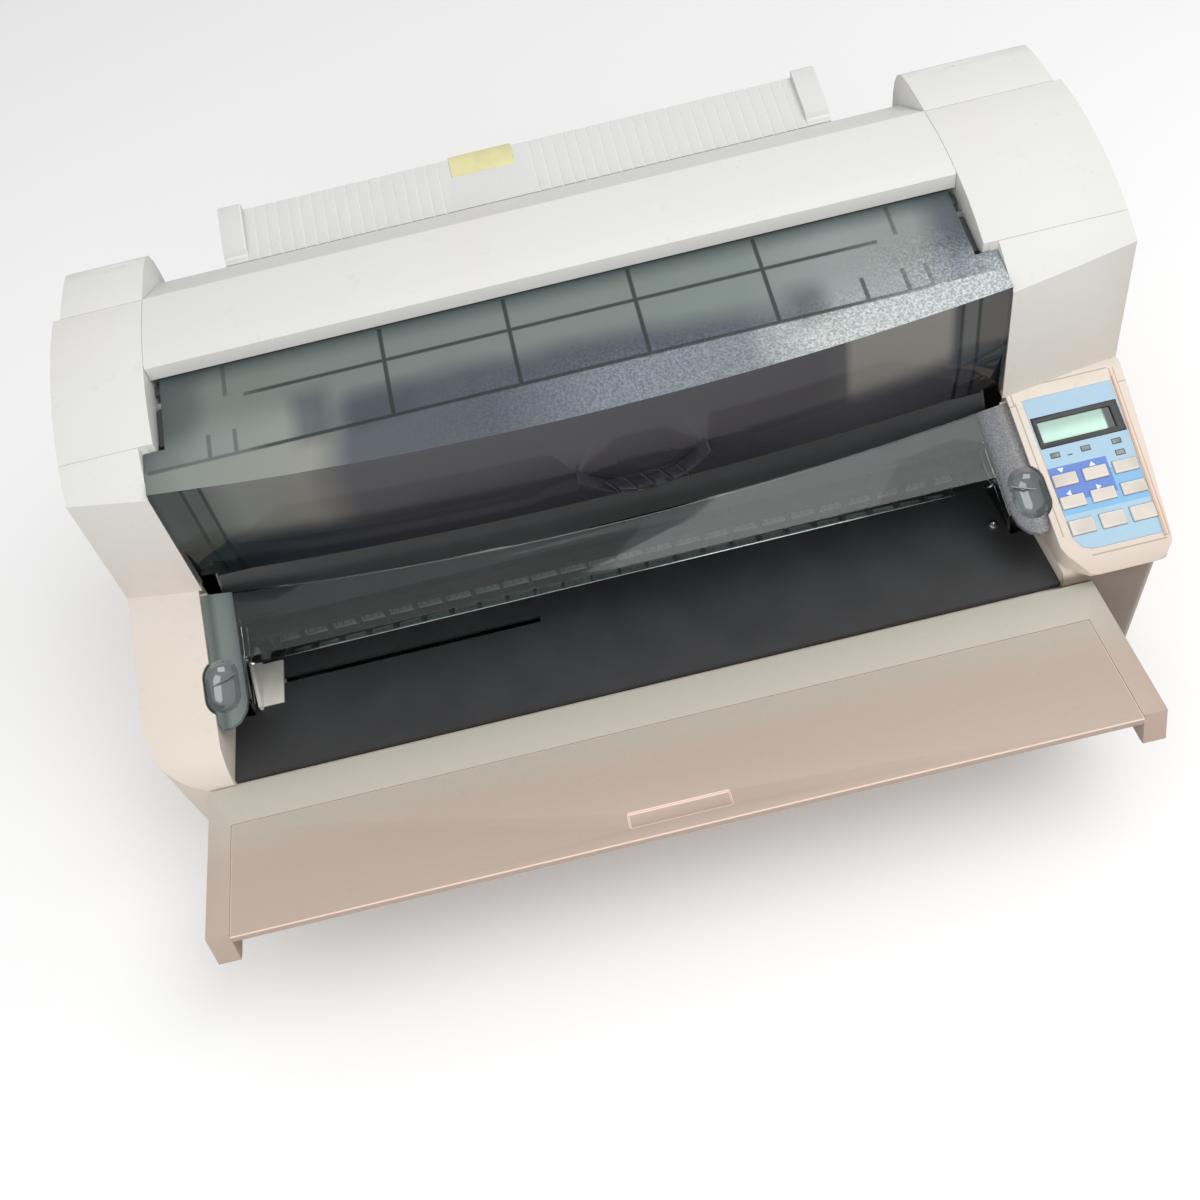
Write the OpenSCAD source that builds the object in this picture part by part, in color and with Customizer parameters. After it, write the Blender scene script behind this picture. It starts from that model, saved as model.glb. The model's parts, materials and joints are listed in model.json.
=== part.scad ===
// Wide dot matrix printer with a hinged smoked cover, built as separate pieces.
// Units mm. X to the right, Y to the back, Z up. Feet stand on Z = 0.

/* [Body] */
// width of the case
body_w = 650; // [630:1:680]
// height of the case above the desk
body_h = 278; // [272:1:290]
// back wall of the case, from the seam line under the front cover
rear_y = 180; // [176:1:190]
// wall thickness of the plastic case
wall = 3; // [2.6:0.1:3.4]
// width of the left end of the case, up to the cover opening
tower_l = 53.5; // [48:0.5:58]
// width of the right end of the case, which carries the keys
tower_r = 83.5; // [80:0.5:88]

/* [Paper path] */
// height of the paper plane above the desk
path_h = 92; // [90:0.5:94]
// length of the front table
table_l = 97; // [90:1:104]
// diameter of the driven rollers
roller_d = 19; // [18:0.5:20]

/* [Covers] */
// thickness of the smoked covers
cover_t = 2.6; // [2.2:0.1:3]
// how far the front cover opens, degrees
cover_open = 72; // [60:1:76]
// slope of the keys and of the lower cover, degrees
slope = 22; // [20:0.5:24]

/* [Print head] */
// diameter of the main guide shaft
shaft_d = 12; // [10:0.5:14]
// half of the carriage travel to the left and right
head_travel = 174; // [150:1:175]
// diameter of the head body
head_d = 44; // [40:1:46]

/* [Keys] */
// travel of a key
key_travel = 0.8; // [0.6:0.1:0.9]
// width of a key
key_w = 15; // [14:0.5:16]
// gap around a key
key_gap = 0.3; // [0.2:0.05:0.4]

/* [Fits] */
// radial clearance of every turning or sliding fit
run_gap = 0.08; // [0.05:0.01:0.1]
// clearance between neighbouring moving covers
seam = 0.5; // [0.4:0.1:0.8]

/* [Hidden] */
$fn = 48;
e = 0.01;
hw = body_w / 2;
xl = -hw + tower_l;              // left cheek
xr = hw - tower_r;               // right cheek
CX = (xl + xr) / 2;
chw = (xr - xl) / 2;
bend_h = body_h - 43;
foot_h = path_h + 64;
cap_h = body_h - 38;
seam_y = 20;
foot_y = -10;
front_y = -125;
nose_y = -129;
nose_h = path_h + 9;
R = 2288;                        // plan radius of the bowed front
YC = -22 + R;
lean = 0.109;
ts = tan(slope);
xl2 = xl - 7.5;                  // inner walls of the lower shoulders
xr2 = xr + 7.5;
lhw = chw + 7;                   // half width of the lower cover
bowl_x = lhw - 6.5;              // finger bowls
bowl_y = -71;
bowl_l = 6.5;                    // half of the straight part of a bowl
bowl_r = 12;                     // sphere of a bowl, and its centre above the plane
bowl_h = 5;
cap_in = 4;                      // the caps reach past the cheeks, the fronts stay short of them
block_y = 124.3;                 // ridge across the top
wf = chw + 4.3;                  // half widths of the front cover, in front of the caps and between them
wr = chw - 9;
sf_l = xl + 6;                   // side frames, inner faces
sf_r = xr - 6;
frame_t = 2;
base_z = 8;
base_t = 2;
pin_y = 55;
pin_z = body_h - 33;
pin_d = 6;
th_y = front_y - 8;              // table hinge
th_z = path_h - 9;
table_x0 = -295 * body_w / 650;
table_x1 = 267 * body_w / 650;
table_f = front_y - table_l;
gh_y = rear_y - 4;               // rear guide hinge
gh_z = body_h - 29;
g_half = chw - 51.5;
shaft_y = 88;
shaft_z = path_h + 52;
rail_z = path_h + 62;
head_y = 40;
fr_y = 8;                        // front roller
rr_y = 64;                       // rear roller
roll_z = path_h - 0.5 - roller_d / 2;
pinch_d = 12;
pinch_z = path_h + 0.3 + pinch_d / 2;
gear_m = 2;
rg_r = 16;                       // roller gear
ig_r = 14;                       // idler gear
mg_r = 8;                        // motor gear
ig_y = (fr_y + rr_y) / 2;
ig_z = roll_z - sqrt(pow(rg_r + ig_r, 2) - pow((rr_y - fr_y) / 2, 2));
mg_z = ig_z - ig_r - mg_r;
gear_x = sf_r + frame_t + 1.2;
gear_w = 7;
belt_y = 118;
belt_z = path_h + 56;
pul_r = 9;
pul_l = sf_l + 16;
pul_r_x = sf_r - 24;
tr_y = 138;                      // tractors
col = [266, 285.2, 304.4];
row = [68.5, 83.3, 100];
kx = hw - 325;
board_n = -9.6;

oy = -(table_f - 7.5 + rear_y + 33) / 2;   // the frame's origin is the middle of the footprint

c_case = [0.90, 0.88, 0.82];
c_case2 = [0.86, 0.84, 0.78];
c_dark = [0.16, 0.17, 0.18];
c_smoke = [0.25, 0.28, 0.28, 0.6];
c_steel = [0.70, 0.72, 0.74];
c_black = [0.10, 0.10, 0.11];

function zpl(y) = foot_h + (y - foot_y) * ts;
function zt(y) = body_h - 21.7 - (69.5 - y) * 0.282;
function tp() = [[0,-43],[10,-36.4],[20,-30.3],[35,-22.9],[50,-16.8],[65,-12],[82,-7.7],[100,-4.4],[block_y,-2.3],[140,-0.9],[157,0],[rear_y-12,-0.8],[rear_y-5,-4.6],[rear_y-1,-12],[rear_y,-20]];
function top_line(t) = [for (p = tp()) [p[0] >= rear_y - 5 ? p[0] - t : p[0], body_h + p[1] - t]];
function tower_poly(t) = concat([[-60, 0], [-60, bend_h - 38 - t]], top_line(t), [[rear_y - t, 0]]);
function plan(t) = concat([[-hw+t,rear_y-t]],[for (a = [0:7.5:90]) [-hw+40-(40-t)*pow(cos(a),0.8), front_y+37-(37-t)*pow(sin(a),0.8)]],[
  [hw-40,front_y+t],[hw-24-t*0.3,front_y+0.6+t],[hw-16-t*0.7,front_y+4+t*0.4],[hw-11-t*0.9,-113],[hw-8-t,-92],[hw-4.5-t,-62],[hw-1.5-t,-30],[hw-t,-8],[hw-t,rear_y-t]]);
function side_poly(t) = [[front_y+t,base_z-3+t],[front_y+t,path_h-8],[front_y+1.5+t,path_h+4-t*0.5],[-119+t*0.6,path_h+13-t*0.8],[-111,zpl(-111)-0.8-t],[-100,zpl(-100)-t],[foot_y,foot_h-t],[foot_y+4,foot_h-t],[foot_y+4,foot_h+(t>0?200:0)],[rear_y-t,foot_h+(t>0?200:0)],[rear_y-t,base_z-3+t]];

module xext(x0, x1) { translate([x0, 0, 0]) rotate([90, 0, 90]) linear_extrude(x1 - x0) children(); }
module on_plane() { translate([0, foot_y, foot_h]) rotate([slope, 0, 0]) children(); }
module xcyl(x0, x1, y, z, d, f = 48) { translate([x0, y, z]) rotate([0, 90, 0]) cylinder(d = d, h = x1 - x0, $fn = f); }
module arc_ring(pts) { translate([CX, YC, 0]) rotate([0, 0, 259.5]) rotate_extrude(angle = 21, $fn = 1080) polygon(pts); }
module arc_solid(t) { arc_ring([[R-370, 20], [R - t + lean * (bend_h - 20), 20], [R - t, bend_h], [R - t, 400], [R - 370, 400]]); }
// a shell of side by side blocks [x0, x1, y0, y1] with one outline and one hollow
module seg_shell(outer, inner) {
  difference() {
    intersection() {
      arc_solid(0);
      union() for (b = outer) intersection() { xext(b[0], b[1]) polygon(tower_poly(0)); translate([-500, b[2], 0]) cube([1000, b[3] - b[2], 500]); }
    }
    intersection() {
      arc_solid(wall);
      union() for (b = inner) intersection() { xext(b[0] + wall, b[1] - wall) polygon(tower_poly(wall)); translate([-500, b[2], 0]) cube([1000, b[3] - b[2], 500]); }
    }
  }
}
module capsule(r, h, l = bowl_l) { for (y = [-l, l]) translate([0, y, 0]) cylinder(r = r, h = h, $fn = 64); translate([-r, -l, 0]) cube([2 * r, 2 * l, h]); }
module pill(r, l = bowl_l) { for (y = [-l, l]) translate([0, y, bowl_h]) sphere(r = r, $fn = 64); translate([0, l, bowl_h]) rotate([90, 0, 0]) cylinder(r = r, h = 2 * l, $fn = 64); }
module cap_region() { translate([-400, seam_y, cap_h]) cube([800, 300, 100]); }
module below_region() { xext(-400, 400) polygon([[-220, -10], [-220, zpl(-220)], [foot_y, foot_h], [300, foot_h], [300, -10]]); }

// ---- case ----
module lower_case() color(c_case) {
  difference() {
    intersection() {
      translate([0, 0, base_z - 3]) linear_extrude(foot_h) polygon(plan(0));
      xext(-400, 400) polygon(side_poly(0));
    }
    intersection() {
      translate([0, 0, base_z]) linear_extrude(400) polygon(plan(wall));
      xext(-400, 400) polygon(side_poly(wall));
    }
    // the mouth between the shoulders
    translate([xl2, -200, path_h - 4.4]) cube([xr2 - xl2, 200 + foot_y + 6, 200]);
    // seat of the key housing
    translate([xr2 - e, -200, nose_h]) cube([200, 200 + foot_y - 0.3, 200]);
    // back slot for paper, inlet and port openings
    translate([CX - chw + 31.5, rear_y - 10, path_h - 6]) cube([2 * chw - 63, 20, 26]);
    translate([-hw + 60, rear_y - 10, 30]) cube([28, 20, 21]);
    translate([150, rear_y - 10, 28]) cube([66, 20, 20]);
    // switch opening
    translate([xl2, front_y - 5, 34]) cube([14, 20, 21]);
    // notches for the finger bowls
    for (s = [-1, 1]) on_plane() translate([CX + s * bowl_x, bowl_y, -30]) capsule(bowl_r + 0.4, 60);
  }
  // inner walls of the shoulders and the rims round the bowls
  difference() {
    intersection() {
      union() {
        translate([xl2 - wall, -122.2, base_z - e]) cube([wall, 122.2 - 7, 300]);
        translate([xr2, -122.2, base_z - e]) cube([wall, 122.2 - 7, nose_h - base_z + e]);
      }
      xext(-400, 400) polygon(side_poly(0));
    }
    for (s = [-1, 1]) on_plane() translate([CX + s * bowl_x, bowl_y, -30]) capsule(bowl_r + 0.4, 60);
    // cable hole
    translate([xl2 - 10, -60, 30]) cube([xr2 - xl2 + 20, 30, 25]);
  }
  intersection() {
    difference() {
      on_plane() translate([CX - bowl_x, bowl_y, -40]) capsule(bowl_r + 2.6, 60);
      on_plane() translate([CX - bowl_x, bowl_y, -50]) capsule(bowl_r + 0.4, 80);
      translate([xl2 - e, -300, -10]) cube([200, 400, 400]);
    }
    xext(-400, 400) polygon(side_poly(0));
  }
  // ledge that carries the lower cover
  xext(xl2 - e, xl2 + 4) polygon([[-48, zpl(-48) - 9], [-48, zpl(-48) - 0.65 - cover_t], [-16, zpl(-16) - 0.65 - cover_t], [-16, zpl(-16) - 9]]);
  // frame of the rocker switch
  difference() {
    translate([xl2 - 2, front_y, 32]) cube([18, 14, 25]);
    translate([xl2 + 2, front_y - 5, 36.2]) cube([10, 30, 16.6]);
    xcyl(xl2 + 0.5, xl2 + 13.5, front_y + 4, 44.5, 3 + 2 * run_gap);
  }
  // brackets of the table hinge
  for (x = [table_x0 + 44, table_x1 - 52]) difference() {
    union() { xext(x, x + 6) polygon([[front_y + e, th_z - 10], [th_y + 0.5, th_z - 3.7], [th_y + 0.5, th_z + 3.4], [front_y + e, th_z + 3.4]]); xcyl(x, x + 6, th_y, th_z, 7.5); }
    xcyl(x - 1, x + 7, th_y, th_z, 5 + 2 * run_gap);
  }
}

module upper_case() color(c_case) difference() {
  union() {
    difference() {
      seg_shell([[-hw, xl - 5, -80, seam_y], [-hw, xl, seam_y - e, rear_y], [xr + 5, hw, -80, seam_y], [xr, hw, seam_y - e, rear_y]],
        [[-hw, xl - 5, -80, rear_y], [-hw, xl, seam_y + wall, rear_y], [xr + 5, hw, -80, rear_y], [xr, hw, seam_y + wall, rear_y]]);
      below_region();
      cap_region();
    }
    // back wall between the ends
    translate([xl - e, rear_y - wall, foot_h]) cube([xr - xl + 2 * e, wall, cap_h - foot_h]);
    translate([xl + cap_in + 0.3, rear_y - wall, cap_h - e]) cube([xr - xl - 2 * cap_in - 0.6, wall, gh_z - 6 - cap_h]);
    // ledges for the middle cover
    translate([xl - e, 90, cap_h - 6]) cube([8, 75, 6]);
    translate([xr - 8 + e, 90, cap_h - 6]) cube([8, 75, 6]);
    // brackets of the rear guide
    for (s = [-1, 1]) xext(CX + s * (g_half - 19) - 3, CX + s * (g_half - 19) + 3) polygon([[rear_y - wall + e, gh_z - 12], [rear_y - wall, gh_z - 4], [gh_y - 5, gh_z - 2], [gh_y - 4.6, gh_z + 2], [gh_y - 2, gh_z + 5], [gh_y + 2, gh_z + 5], [gh_y + 4, gh_z + 2], [rear_y, gh_z - 12]]);
  }
  for (s = [-1, 1]) xcyl(CX + s * (g_half - 19) - 4, CX + s * (g_half - 19) + 4, gh_y, gh_z, 5 + 2 * run_gap);
}

module side_caps() color(c_case) difference() {
  union() {
    intersection() {
      seg_shell([[-hw, xl + cap_in, seam_y + 0.4, block_y], [-hw + 4.5, xl + cap_in, block_y - e, rear_y], [xr - cap_in, hw, seam_y + 0.4, block_y], [xr - cap_in, hw - 4.5, block_y - e, rear_y]],
        [[-hw, xl + cap_in, seam_y + 0.4 + wall, block_y - wall], [-hw + 4.5, xl + cap_in, block_y - wall - e, rear_y], [xr - cap_in, hw, seam_y + 0.4 + wall, block_y - wall], [xr - cap_in, hw - 4.5, block_y - wall - e, rear_y]]);
      translate([-400, seam_y + 0.4, cap_h]) cube([800, 300, 100]);
    }
    // lips that stand on the ends of the case
    for (x = [xl - 6, xr - cap_in]) translate([x, seam_y + 1, cap_h]) cube([6 + cap_in, rear_y - wall - 1 - seam_y, 1.4]);
    for (x = [-hw + 1, hw - 7]) translate([x, block_y - wall, cap_h]) cube([6, rear_y - wall - block_y, 1.4]);
  }
  // groove along the ridge and slots in the rear blocks
  xext(-400, 400) polygon([[block_y - 0.6, body_h - 3.1], [block_y + 0.2, body_h - 3.1], [block_y + 0.2, 400], [block_y - 0.6, 400]]);
  for (x = [-hw + 33, hw - 65]) translate([x, 162.2, body_h - 1.6]) cube([11, 3, 5]);
  for (x = [xl + cap_in - wall - 1, xr - cap_in - 1]) xcyl(x, x + wall + 2, pin_y, pin_z, pin_d + 2 * run_gap);
}

module centre_cover() color(c_case) {
  o = [[67,-21],[67.5,-12.2],[69,-10.9],[82,-7.6],[100,-4.4],[block_y,-2.3],[block_y+1,-3.2],[165.6,-20.4],[166.6,-21.4],[166.6,-24]];
  i = [[164,-24],[164,-22.2],[block_y,-5.9],[122,-5.4],[100,-7.5],[82,-10.7],[72.5,-13.2],[70.2,-14.4],[69.6,-21]];
  xext(xl + cap_in + 0.4, xr - cap_in - 0.4) polygon([for (p = concat(o, i)) [p[0], body_h + p[1]]]);
  // end ribs that stand on the ledges
  for (x = [xl + cap_in + 0.6, xr - cap_in - 3.6]) xext(x, x + 3) polygon([[92, cap_h], [92, body_h - 8], [122, body_h - 4], [126, body_h - 5.5], [150, body_h - 15.5], [160, body_h - 20], [160, cap_h]]);
  // stiffening ribs
  for (k = [-3:3]) xext(CX + k * chw / 3.66 - 1, CX + k * chw / 3.66 + 1) polygon([[82, body_h - 20], [82, body_h - 9], [122, body_h - 4], [126, body_h - 5.5], [150, body_h - 15.5], [158, body_h - 20]]);
}

// ---- smoked covers ----
module front_cover() color(c_smoke) {
  cr = foot_h + 33;
  sk = foot_h + 4;
  // plate, bowed face and side walls, wide in front of the caps and narrow between them
  for (g = [[wf, -200, seam_y - 0.5], [wr, seam_y - 0.5 - e, 400]]) intersection() {
    union() {
      intersection() {
        xext(CX - g[0], CX + g[0]) polygon([[69.5, zt(69.5)], [69.5, zt(69.5) - cover_t], [-45, zt(-45) - cover_t], [-45, zt(-45)]]);
        arc_solid(0);
      }
      intersection() {
        arc_ring([[R, bend_h + 3], [R + lean * (bend_h - cr), cr], [R + 2, sk], [R + 2 - cover_t, sk], [R + lean * (bend_h - cr) - cover_t - 0.1, cr - 0.5], [R - cover_t, bend_h + 3]]);
        xext(CX - g[0], CX + g[0]) polygon([[-60, sk - 5], [-60, zt(-60)], [60, zt(60)], [60, sk - 5]]);
      }
      intersection() {
        union() for (x = [CX - g[0], CX + g[0] - cover_t]) xext(x, x + cover_t) polygon([[69.5, zt(69.5) - e], [69.5, zt(69.5) - 6], [60, pin_z - 5.5], [50, pin_z - 5.5], [8, zt(8) - 12], [-2, sk + 12], [-14, sk], [-60, sk], [-60, zt(-60) - e]]);
        arc_solid(0.4);
      }
    }
    translate([CX - g[0], g[1], 0]) cube([2 * g[0], g[2] - g[1], 400]);
  }
  for (s = [-1, 1]) translate([CX + s * (wf + wr - cover_t) / 2 - (wf - wr + cover_t) / 2, seam_y - 2.5, zt(seam_y - 2.5) - 11]) cube([wf - wr + cover_t, 2, 9]);
  // ribs under the top
  for (x = [-0.427, -0.1245, 0.18, 0.486]) xext(CX + x * chw - 1, CX + x * chw + 1) polygon([[66, zt(66) - 1], [66, zt(66) - 8], [6, zt(6) - 8], [6, zt(6) - 1]]);
  for (y = [44, 6]) xext(CX - (y > 20 ? wr - 51 : wf - 2), CX + (y > 20 ? wr - 52 : wf - 43)) polygon([[y - 1, zt(y) - 1], [y - 1, zt(y) - 8], [y + 1, zt(y) - 8], [y + 1, zt(y) - 1]]);
  for (x = [-1, 1]) xext(CX + x * (wr - 39.5) - 1, CX + x * (wr - 39.5) + 1) polygon([[66, zt(66) - 1], [66, zt(66) - 7], [46, zt(46) - 7], [46, zt(46) - 1]]);
  for (x = [-wf + 40, -wf + 56, wf - 82, wf - 57, wf - 43]) xext(CX + x - 1, CX + x + 1) polygon([[22, zt(22) - 1], [22, zt(22) - 7], [6, zt(6) - 7], [6, zt(6) - 1]]);
  // ribs down the front face
  for (x = [-wf + 20, -wf + 31, wf - 31, wf - 20]) intersection() {
    xext(CX + x - 1, CX + x + 1) polygon([[-60, abs(x) > wf - 25 ? sk + 2 : foot_h + 52], [-60, zt(-60)], [2, zt(2) - 1], [2, abs(x) > wf - 25 ? sk + 2 : foot_h + 52]]);
    arc_ring([[R - 1, bend_h], [R + lean * (bend_h - cr) - 1, cr], [R + 1, sk], [R - 7, sk], [R + lean * (bend_h - cr) - 8, cr], [R - 7, bend_h]]);
  }
  // crescent pull
  intersection() {
    difference() {
      translate([13, 0, foot_h + 66]) rotate([90, 0, 0]) cylinder(r = 52, h = 36, $fn = 96);
      translate([13, -29.6, foot_h + 68.6]) rotate([101, 0, 0]) cylinder(r = 51.6, h = 30, $fn = 96);
    }
    difference() {
      translate([-60, -36, foot_h + 10]) cube([150, 30, 24]);
      arc_solid(0.8);
    }
  }
  // hinge pins
  xcyl(CX - chw, CX - wr + 1, pin_y, pin_z, pin_d);
  xcyl(CX + wr - 1, CX + chw, pin_y, pin_z, pin_d);
}

module lower_cover() color(c_smoke) {
  bx = bowl_x;
  difference() {
    intersection() {
      xext(CX - lhw, CX + lhw) polygon([[-112, zpl(-112) - 0.6], [0, zpl(0) - 0.6], [0, zpl(0) - 0.6 - cover_t], [-112, zpl(-112) - 0.6 - cover_t]]);
      translate([CX, 0, 0]) linear_extrude(300) polygon([[-lhw + seam, 0], [-lhw + seam, -96.5], [-lhw + 2.5, -100.2], [-lhw + 8, -100.6], [-lhw + 14, -98], [-lhw + 19, -92], [-lhw + 21, -84], [-lhw + 21, -62], [lhw - 21, -62], [lhw - 21, -84], [lhw - 19, -92], [lhw - 14, -98], [lhw - 8, -100.6], [lhw - 2.5, -100.2], [lhw - seam, -96.5], [lhw - seam, 0]]);
    }
    arc_ring([[R - 30, 60], [R + lean * (bend_h - foot_h) + 3, 60], [R + lean * (bend_h - foot_h) + 3, 300], [R - 30, 300]]);
    for (s = [-1, 1]) on_plane() translate([CX + s * bx, bowl_y, 0]) pill(bowl_r);
  }
  // skirt and web under the plate
  for (x = [CX - lhw + 20.6, CX + lhw - 22.4]) xext(x, x + 1.8) polygon([[-86, zpl(-86) - 1], [-38, zpl(-38) - 1], [-38, zpl(-38) - 11], [-86, zpl(-86) - 9]]);
  xext(CX - lhw + 21, CX + lhw - 21) polygon([[-62, zpl(-62) - 1], [-62, zpl(-62) - 9], [-60, zpl(-60) - 9], [-60, zpl(-60) - 1]]);
  // finger bowls
  for (s = [-1, 1]) intersection() {
    on_plane() translate([CX + s * bx, bowl_y, 0]) difference() {
      intersection() {
        pill(bowl_r + 1.2);
        translate([-30, -30, -20]) cube([60, 60, 19.4]);
      }
      pill(bowl_r);
    }
    translate([-400, -200, 0]) cube([800, 400, 400]);
  }
}

// ---- keys ----
module key_housing() color(c_case2) difference() {
  union() {
    difference() {
      intersection() {
        translate([0, 0, nose_h]) linear_extrude(100) polygon([[xr2, -10.4], [xr2, -112], [xr2 + 3, -118], [xr2 + 9, -124], [xr2 + 14, nose_y + 1], [xr2 + 20, nose_y], [hw - 20, nose_y], [hw - 14, nose_y + 2], [hw - 9.6, nose_y + 7], [hw - 7.2, -98], [hw - 3.6, -62], [hw - 1, -30], [hw, -10.4]]);
        xext(xr2 - 1, hw + 1) polygon([[foot_y - 0.4, zpl(foot_y - 0.4)], [-113, zpl(-113)], [-119, zpl(-119) - 0.5], [-124, zpl(-124) - 2], [-127.5, zpl(-127.5) - 4.5], [nose_y, nose_h + 1], [nose_y + 1, nose_h], [foot_y - 0.4, nose_h]]);
      }
      intersection() {
        translate([0, 0, nose_h - 1]) linear_extrude(100) polygon([[xr2 + 3, -13.4], [xr2 + 3, -111], [xr2 + 12, -121], [xr2 + 20, nose_y + 4], [hw - 21, nose_y + 4], [hw - 14, -118], [hw - 11, -98], [hw - 7.6, -62], [hw - 5, -30], [hw - 4, -13.4]]);
        xext(xr2 - 1, hw + 1) polygon([[-13.4, zpl(-13.4) - 3.4], [-113, zpl(-113) - 3.4], [-120, zpl(-120) - 5], [nose_y + 4, nose_h + 3], [nose_y + 4, nose_h - 1], [-13.4, nose_h - 1]]);
      }
    }
    // raised rim on the right
    on_plane() translate([0, 0, -0.6]) linear_extrude(1.8) polygon([[kx + 316.2, -9], [kx + 318.2, -9], [kx + 313.6, -117], [kx + 311.4, -117]]);
    // rim round the finger bowl
    on_plane() intersection() {
      translate([CX + bowl_x, bowl_y, -7.6]) capsule(bowl_r + 2.2, 7.4);
      translate([xr2 + e, -130, -20]) cube([60, 100, 20]);
    }
    // ledge that carries the lower cover
    xext(xr2 - 4, xr2 + e) polygon([[-48, zpl(-48) - 9], [-48, zpl(-48) - 0.65 - cover_t], [-16, zpl(-16) - 0.65 - cover_t], [-16, zpl(-16) - 9]]);
    // posts of the key board
    for (x = [259, 308.4], y = [-22, -109]) on_plane() translate([kx + x, y, board_n + 1.6]) cylinder(d = 5, h = -board_n - 4.4, $fn = 24);
  }
  // label recess
  on_plane() translate([0, 0, -0.8]) linear_extrude(5) polygon(label_pts(0.15));
  // display window, keys and lamps
  on_plane() translate([kx + 258.3, -46, -10]) cube([55.4, 21.6, 20]);
  for (c = [0:2], r = [0:2]) on_plane() translate([kx + col[c] - key_w / 2 - key_gap, -row[r] - key_h(r) / 2 - key_gap, -10]) cube([key_w + 2 * key_gap, key_h(r) + 2 * key_gap, 20]);
  for (p = lamps()) on_plane() translate([kx + p[0] - 2.6, -p[1] - 1.4, -10]) cube([5.2, 2.8, 20]);
  // bowl notch
  on_plane() translate([CX + bowl_x, bowl_y, -50]) capsule(bowl_r + 0.4, 70);
}
function key_h(r) = r == 2 ? 9.5 : 8;
function lamps() = [[265.6, 51.6], [285, 51.6], [304.8, 51.6], [304.6, 59.3]];
function label_pts(g) = [[kx + 257.4 - g, -11.4 + g], [kx + 315 + g, -11.4 + g], [kx + 311 + g, -115 - g], [kx + 268 - g, -115 - g], [kx + 262 - g, -112.5 - g], [kx + 258 - g, -106]];

module key_label() color([0.70, 0.85, 0.95]) on_plane() difference() {
  translate([0, 0, -0.8]) linear_extrude(0.8) polygon(label_pts(0));
  translate([kx + 258.3, -46, -5]) cube([55.4, 21.6, 20]);
  for (c = [0:2], r = [0:2]) translate([kx + col[c] - key_w / 2 - key_gap, -row[r] - key_h(r) / 2 - key_gap, -5]) cube([key_w + 2 * key_gap, key_h(r) + 2 * key_gap, 20]);
  for (p = lamps()) translate([kx + p[0] - 2.6, -p[1] - 1.4, -5]) cube([5.2, 2.8, 20]);
}
module lcd_bezel() color(c_dark) on_plane() difference() {
  translate([kx + 258.5, -45.8, board_n + 1.6]) cube([55, 21.2, -board_n - 1.6 + 0.5]);
  translate([kx + 261.4, -42.3, -4]) cube([47, 14.3, 20]);
  translate([kx + 259.5, -44.8, board_n]) cube([53, 19.2, 4.1]);
}
module lcd_glass() color([0.70, 0.85, 0.78]) on_plane() translate([kx + 261.5, -42.2, -4]) cube([46.8, 14.1, 3.3]);
module key(c, r) color([0.85, 0.81, 0.76]) on_plane() translate([kx + col[c], -row[r], 0]) {
  h = key_h(r);
  difference() {
    translate([-key_w / 2, -h / 2, -4.6]) cube([key_w, h, 6.2]);
    for (s = [-1, 1]) translate([s * key_w / 2, 0, 1.6]) rotate([0, 45, 0]) cube([0.8, 20, 0.8], center = true);
    for (s = [-1, 1]) translate([0, s * h / 2, 1.6]) rotate([45, 0, 0]) cube([20, 0.8, 0.8], center = true);
  }
  translate([-key_w / 2 - 0.6, -h / 2 - 0.8, -5]) cube([key_w + 1.2, h + 1.6, 1.5]);
}
module key_1() key(0, 0);
module key_2() key(1, 0);
module key_3() key(2, 0);
module key_4() key(0, 1);
module key_5() key(1, 1);
module key_6() key(2, 1);
module key_7() key(0, 2);
module key_8() key(1, 2);
module key_9() key(2, 2);
module key_board() color([0.12, 0.36, 0.22]) on_plane() {
  translate([kx + 255.6, -111.6, board_n]) cube([55.2, 93.6, 1.6]);
  // lamps
  for (p = lamps()) translate([kx + p[0] - 2.5, -p[1] - 1.3, board_n + 1.6 - e]) cube([5, 2.6, -board_n - 1.6 + 0.2]);
  for (c = [0:2], r = [0:2]) translate([kx + col[c], -row[r], board_n + 1.5]) cylinder(d = 4, h = -5 - key_travel - board_n - 1.7, $fn = 24);
}

// ---- front table ----
module table() color(c_case2) {
  difference() {
    translate([table_x0, table_f, path_h - 5]) cube([table_x1 - table_x0, table_l - 0.6, 5]);
    // tray of the extension
    translate([table_x0 + 14, table_f - 1, path_h - 3]) cube([table_x1 - table_x0 - 28, table_l - 26, 4]);
    translate([table_x0 + 60, table_f + 16, path_h - 8]) cube([table_x1 - table_x0 - 120, 4, 10]);
  }
  for (x = [table_x0, table_x1 - 13.5]) xext(x, x + 13.5) polygon([[table_f, path_h], [table_f - 7.5, path_h - 20], [table_f - 4, path_h - 21], [table_f + 5, path_h - 21], [table_f + 5, path_h - 4], [table_f + 5, path_h]]);
  // lugs and hinge pins
  for (x = [table_x0 + 50.3, table_x1 - 58.3]) {
    xext(x, x + 6) polygon([[th_y + 3, path_h - 5 + e], [th_y + 3.5, th_z - 2], [th_y, th_z - 4], [th_y - 4, th_z - 2], [th_y - 12, path_h - 5 + e]]);
  }
  xcyl(table_x0 + 43, table_x0 + 52, th_y, th_z, 5);
  xcyl(table_x1 - 54, table_x1 - 45, th_y, th_z, 5);
  // under ribs
  for (x = [table_x0 + 4, table_x1 - 6]) translate([x, table_f + 4, path_h - 11]) cube([2, table_l - 24, 7]);
}
module table_extension() color(c_case2) difference() {
  union() {
    translate([table_x0 + 14.15, table_f - 1.5, path_h - 2.9]) cube([table_x1 - table_x0 - 28.3, table_l - 25.65, 2.8]);
    translate([table_x0 + 14.15, table_f - 2.5, path_h - 6.4]) cube([table_x1 - table_x0 - 28.3, 2.2, 6.3]);
  }
  translate([CX - 30, table_f + 6, path_h - 1.4]) cube([60, 9, 3]);
}
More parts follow.
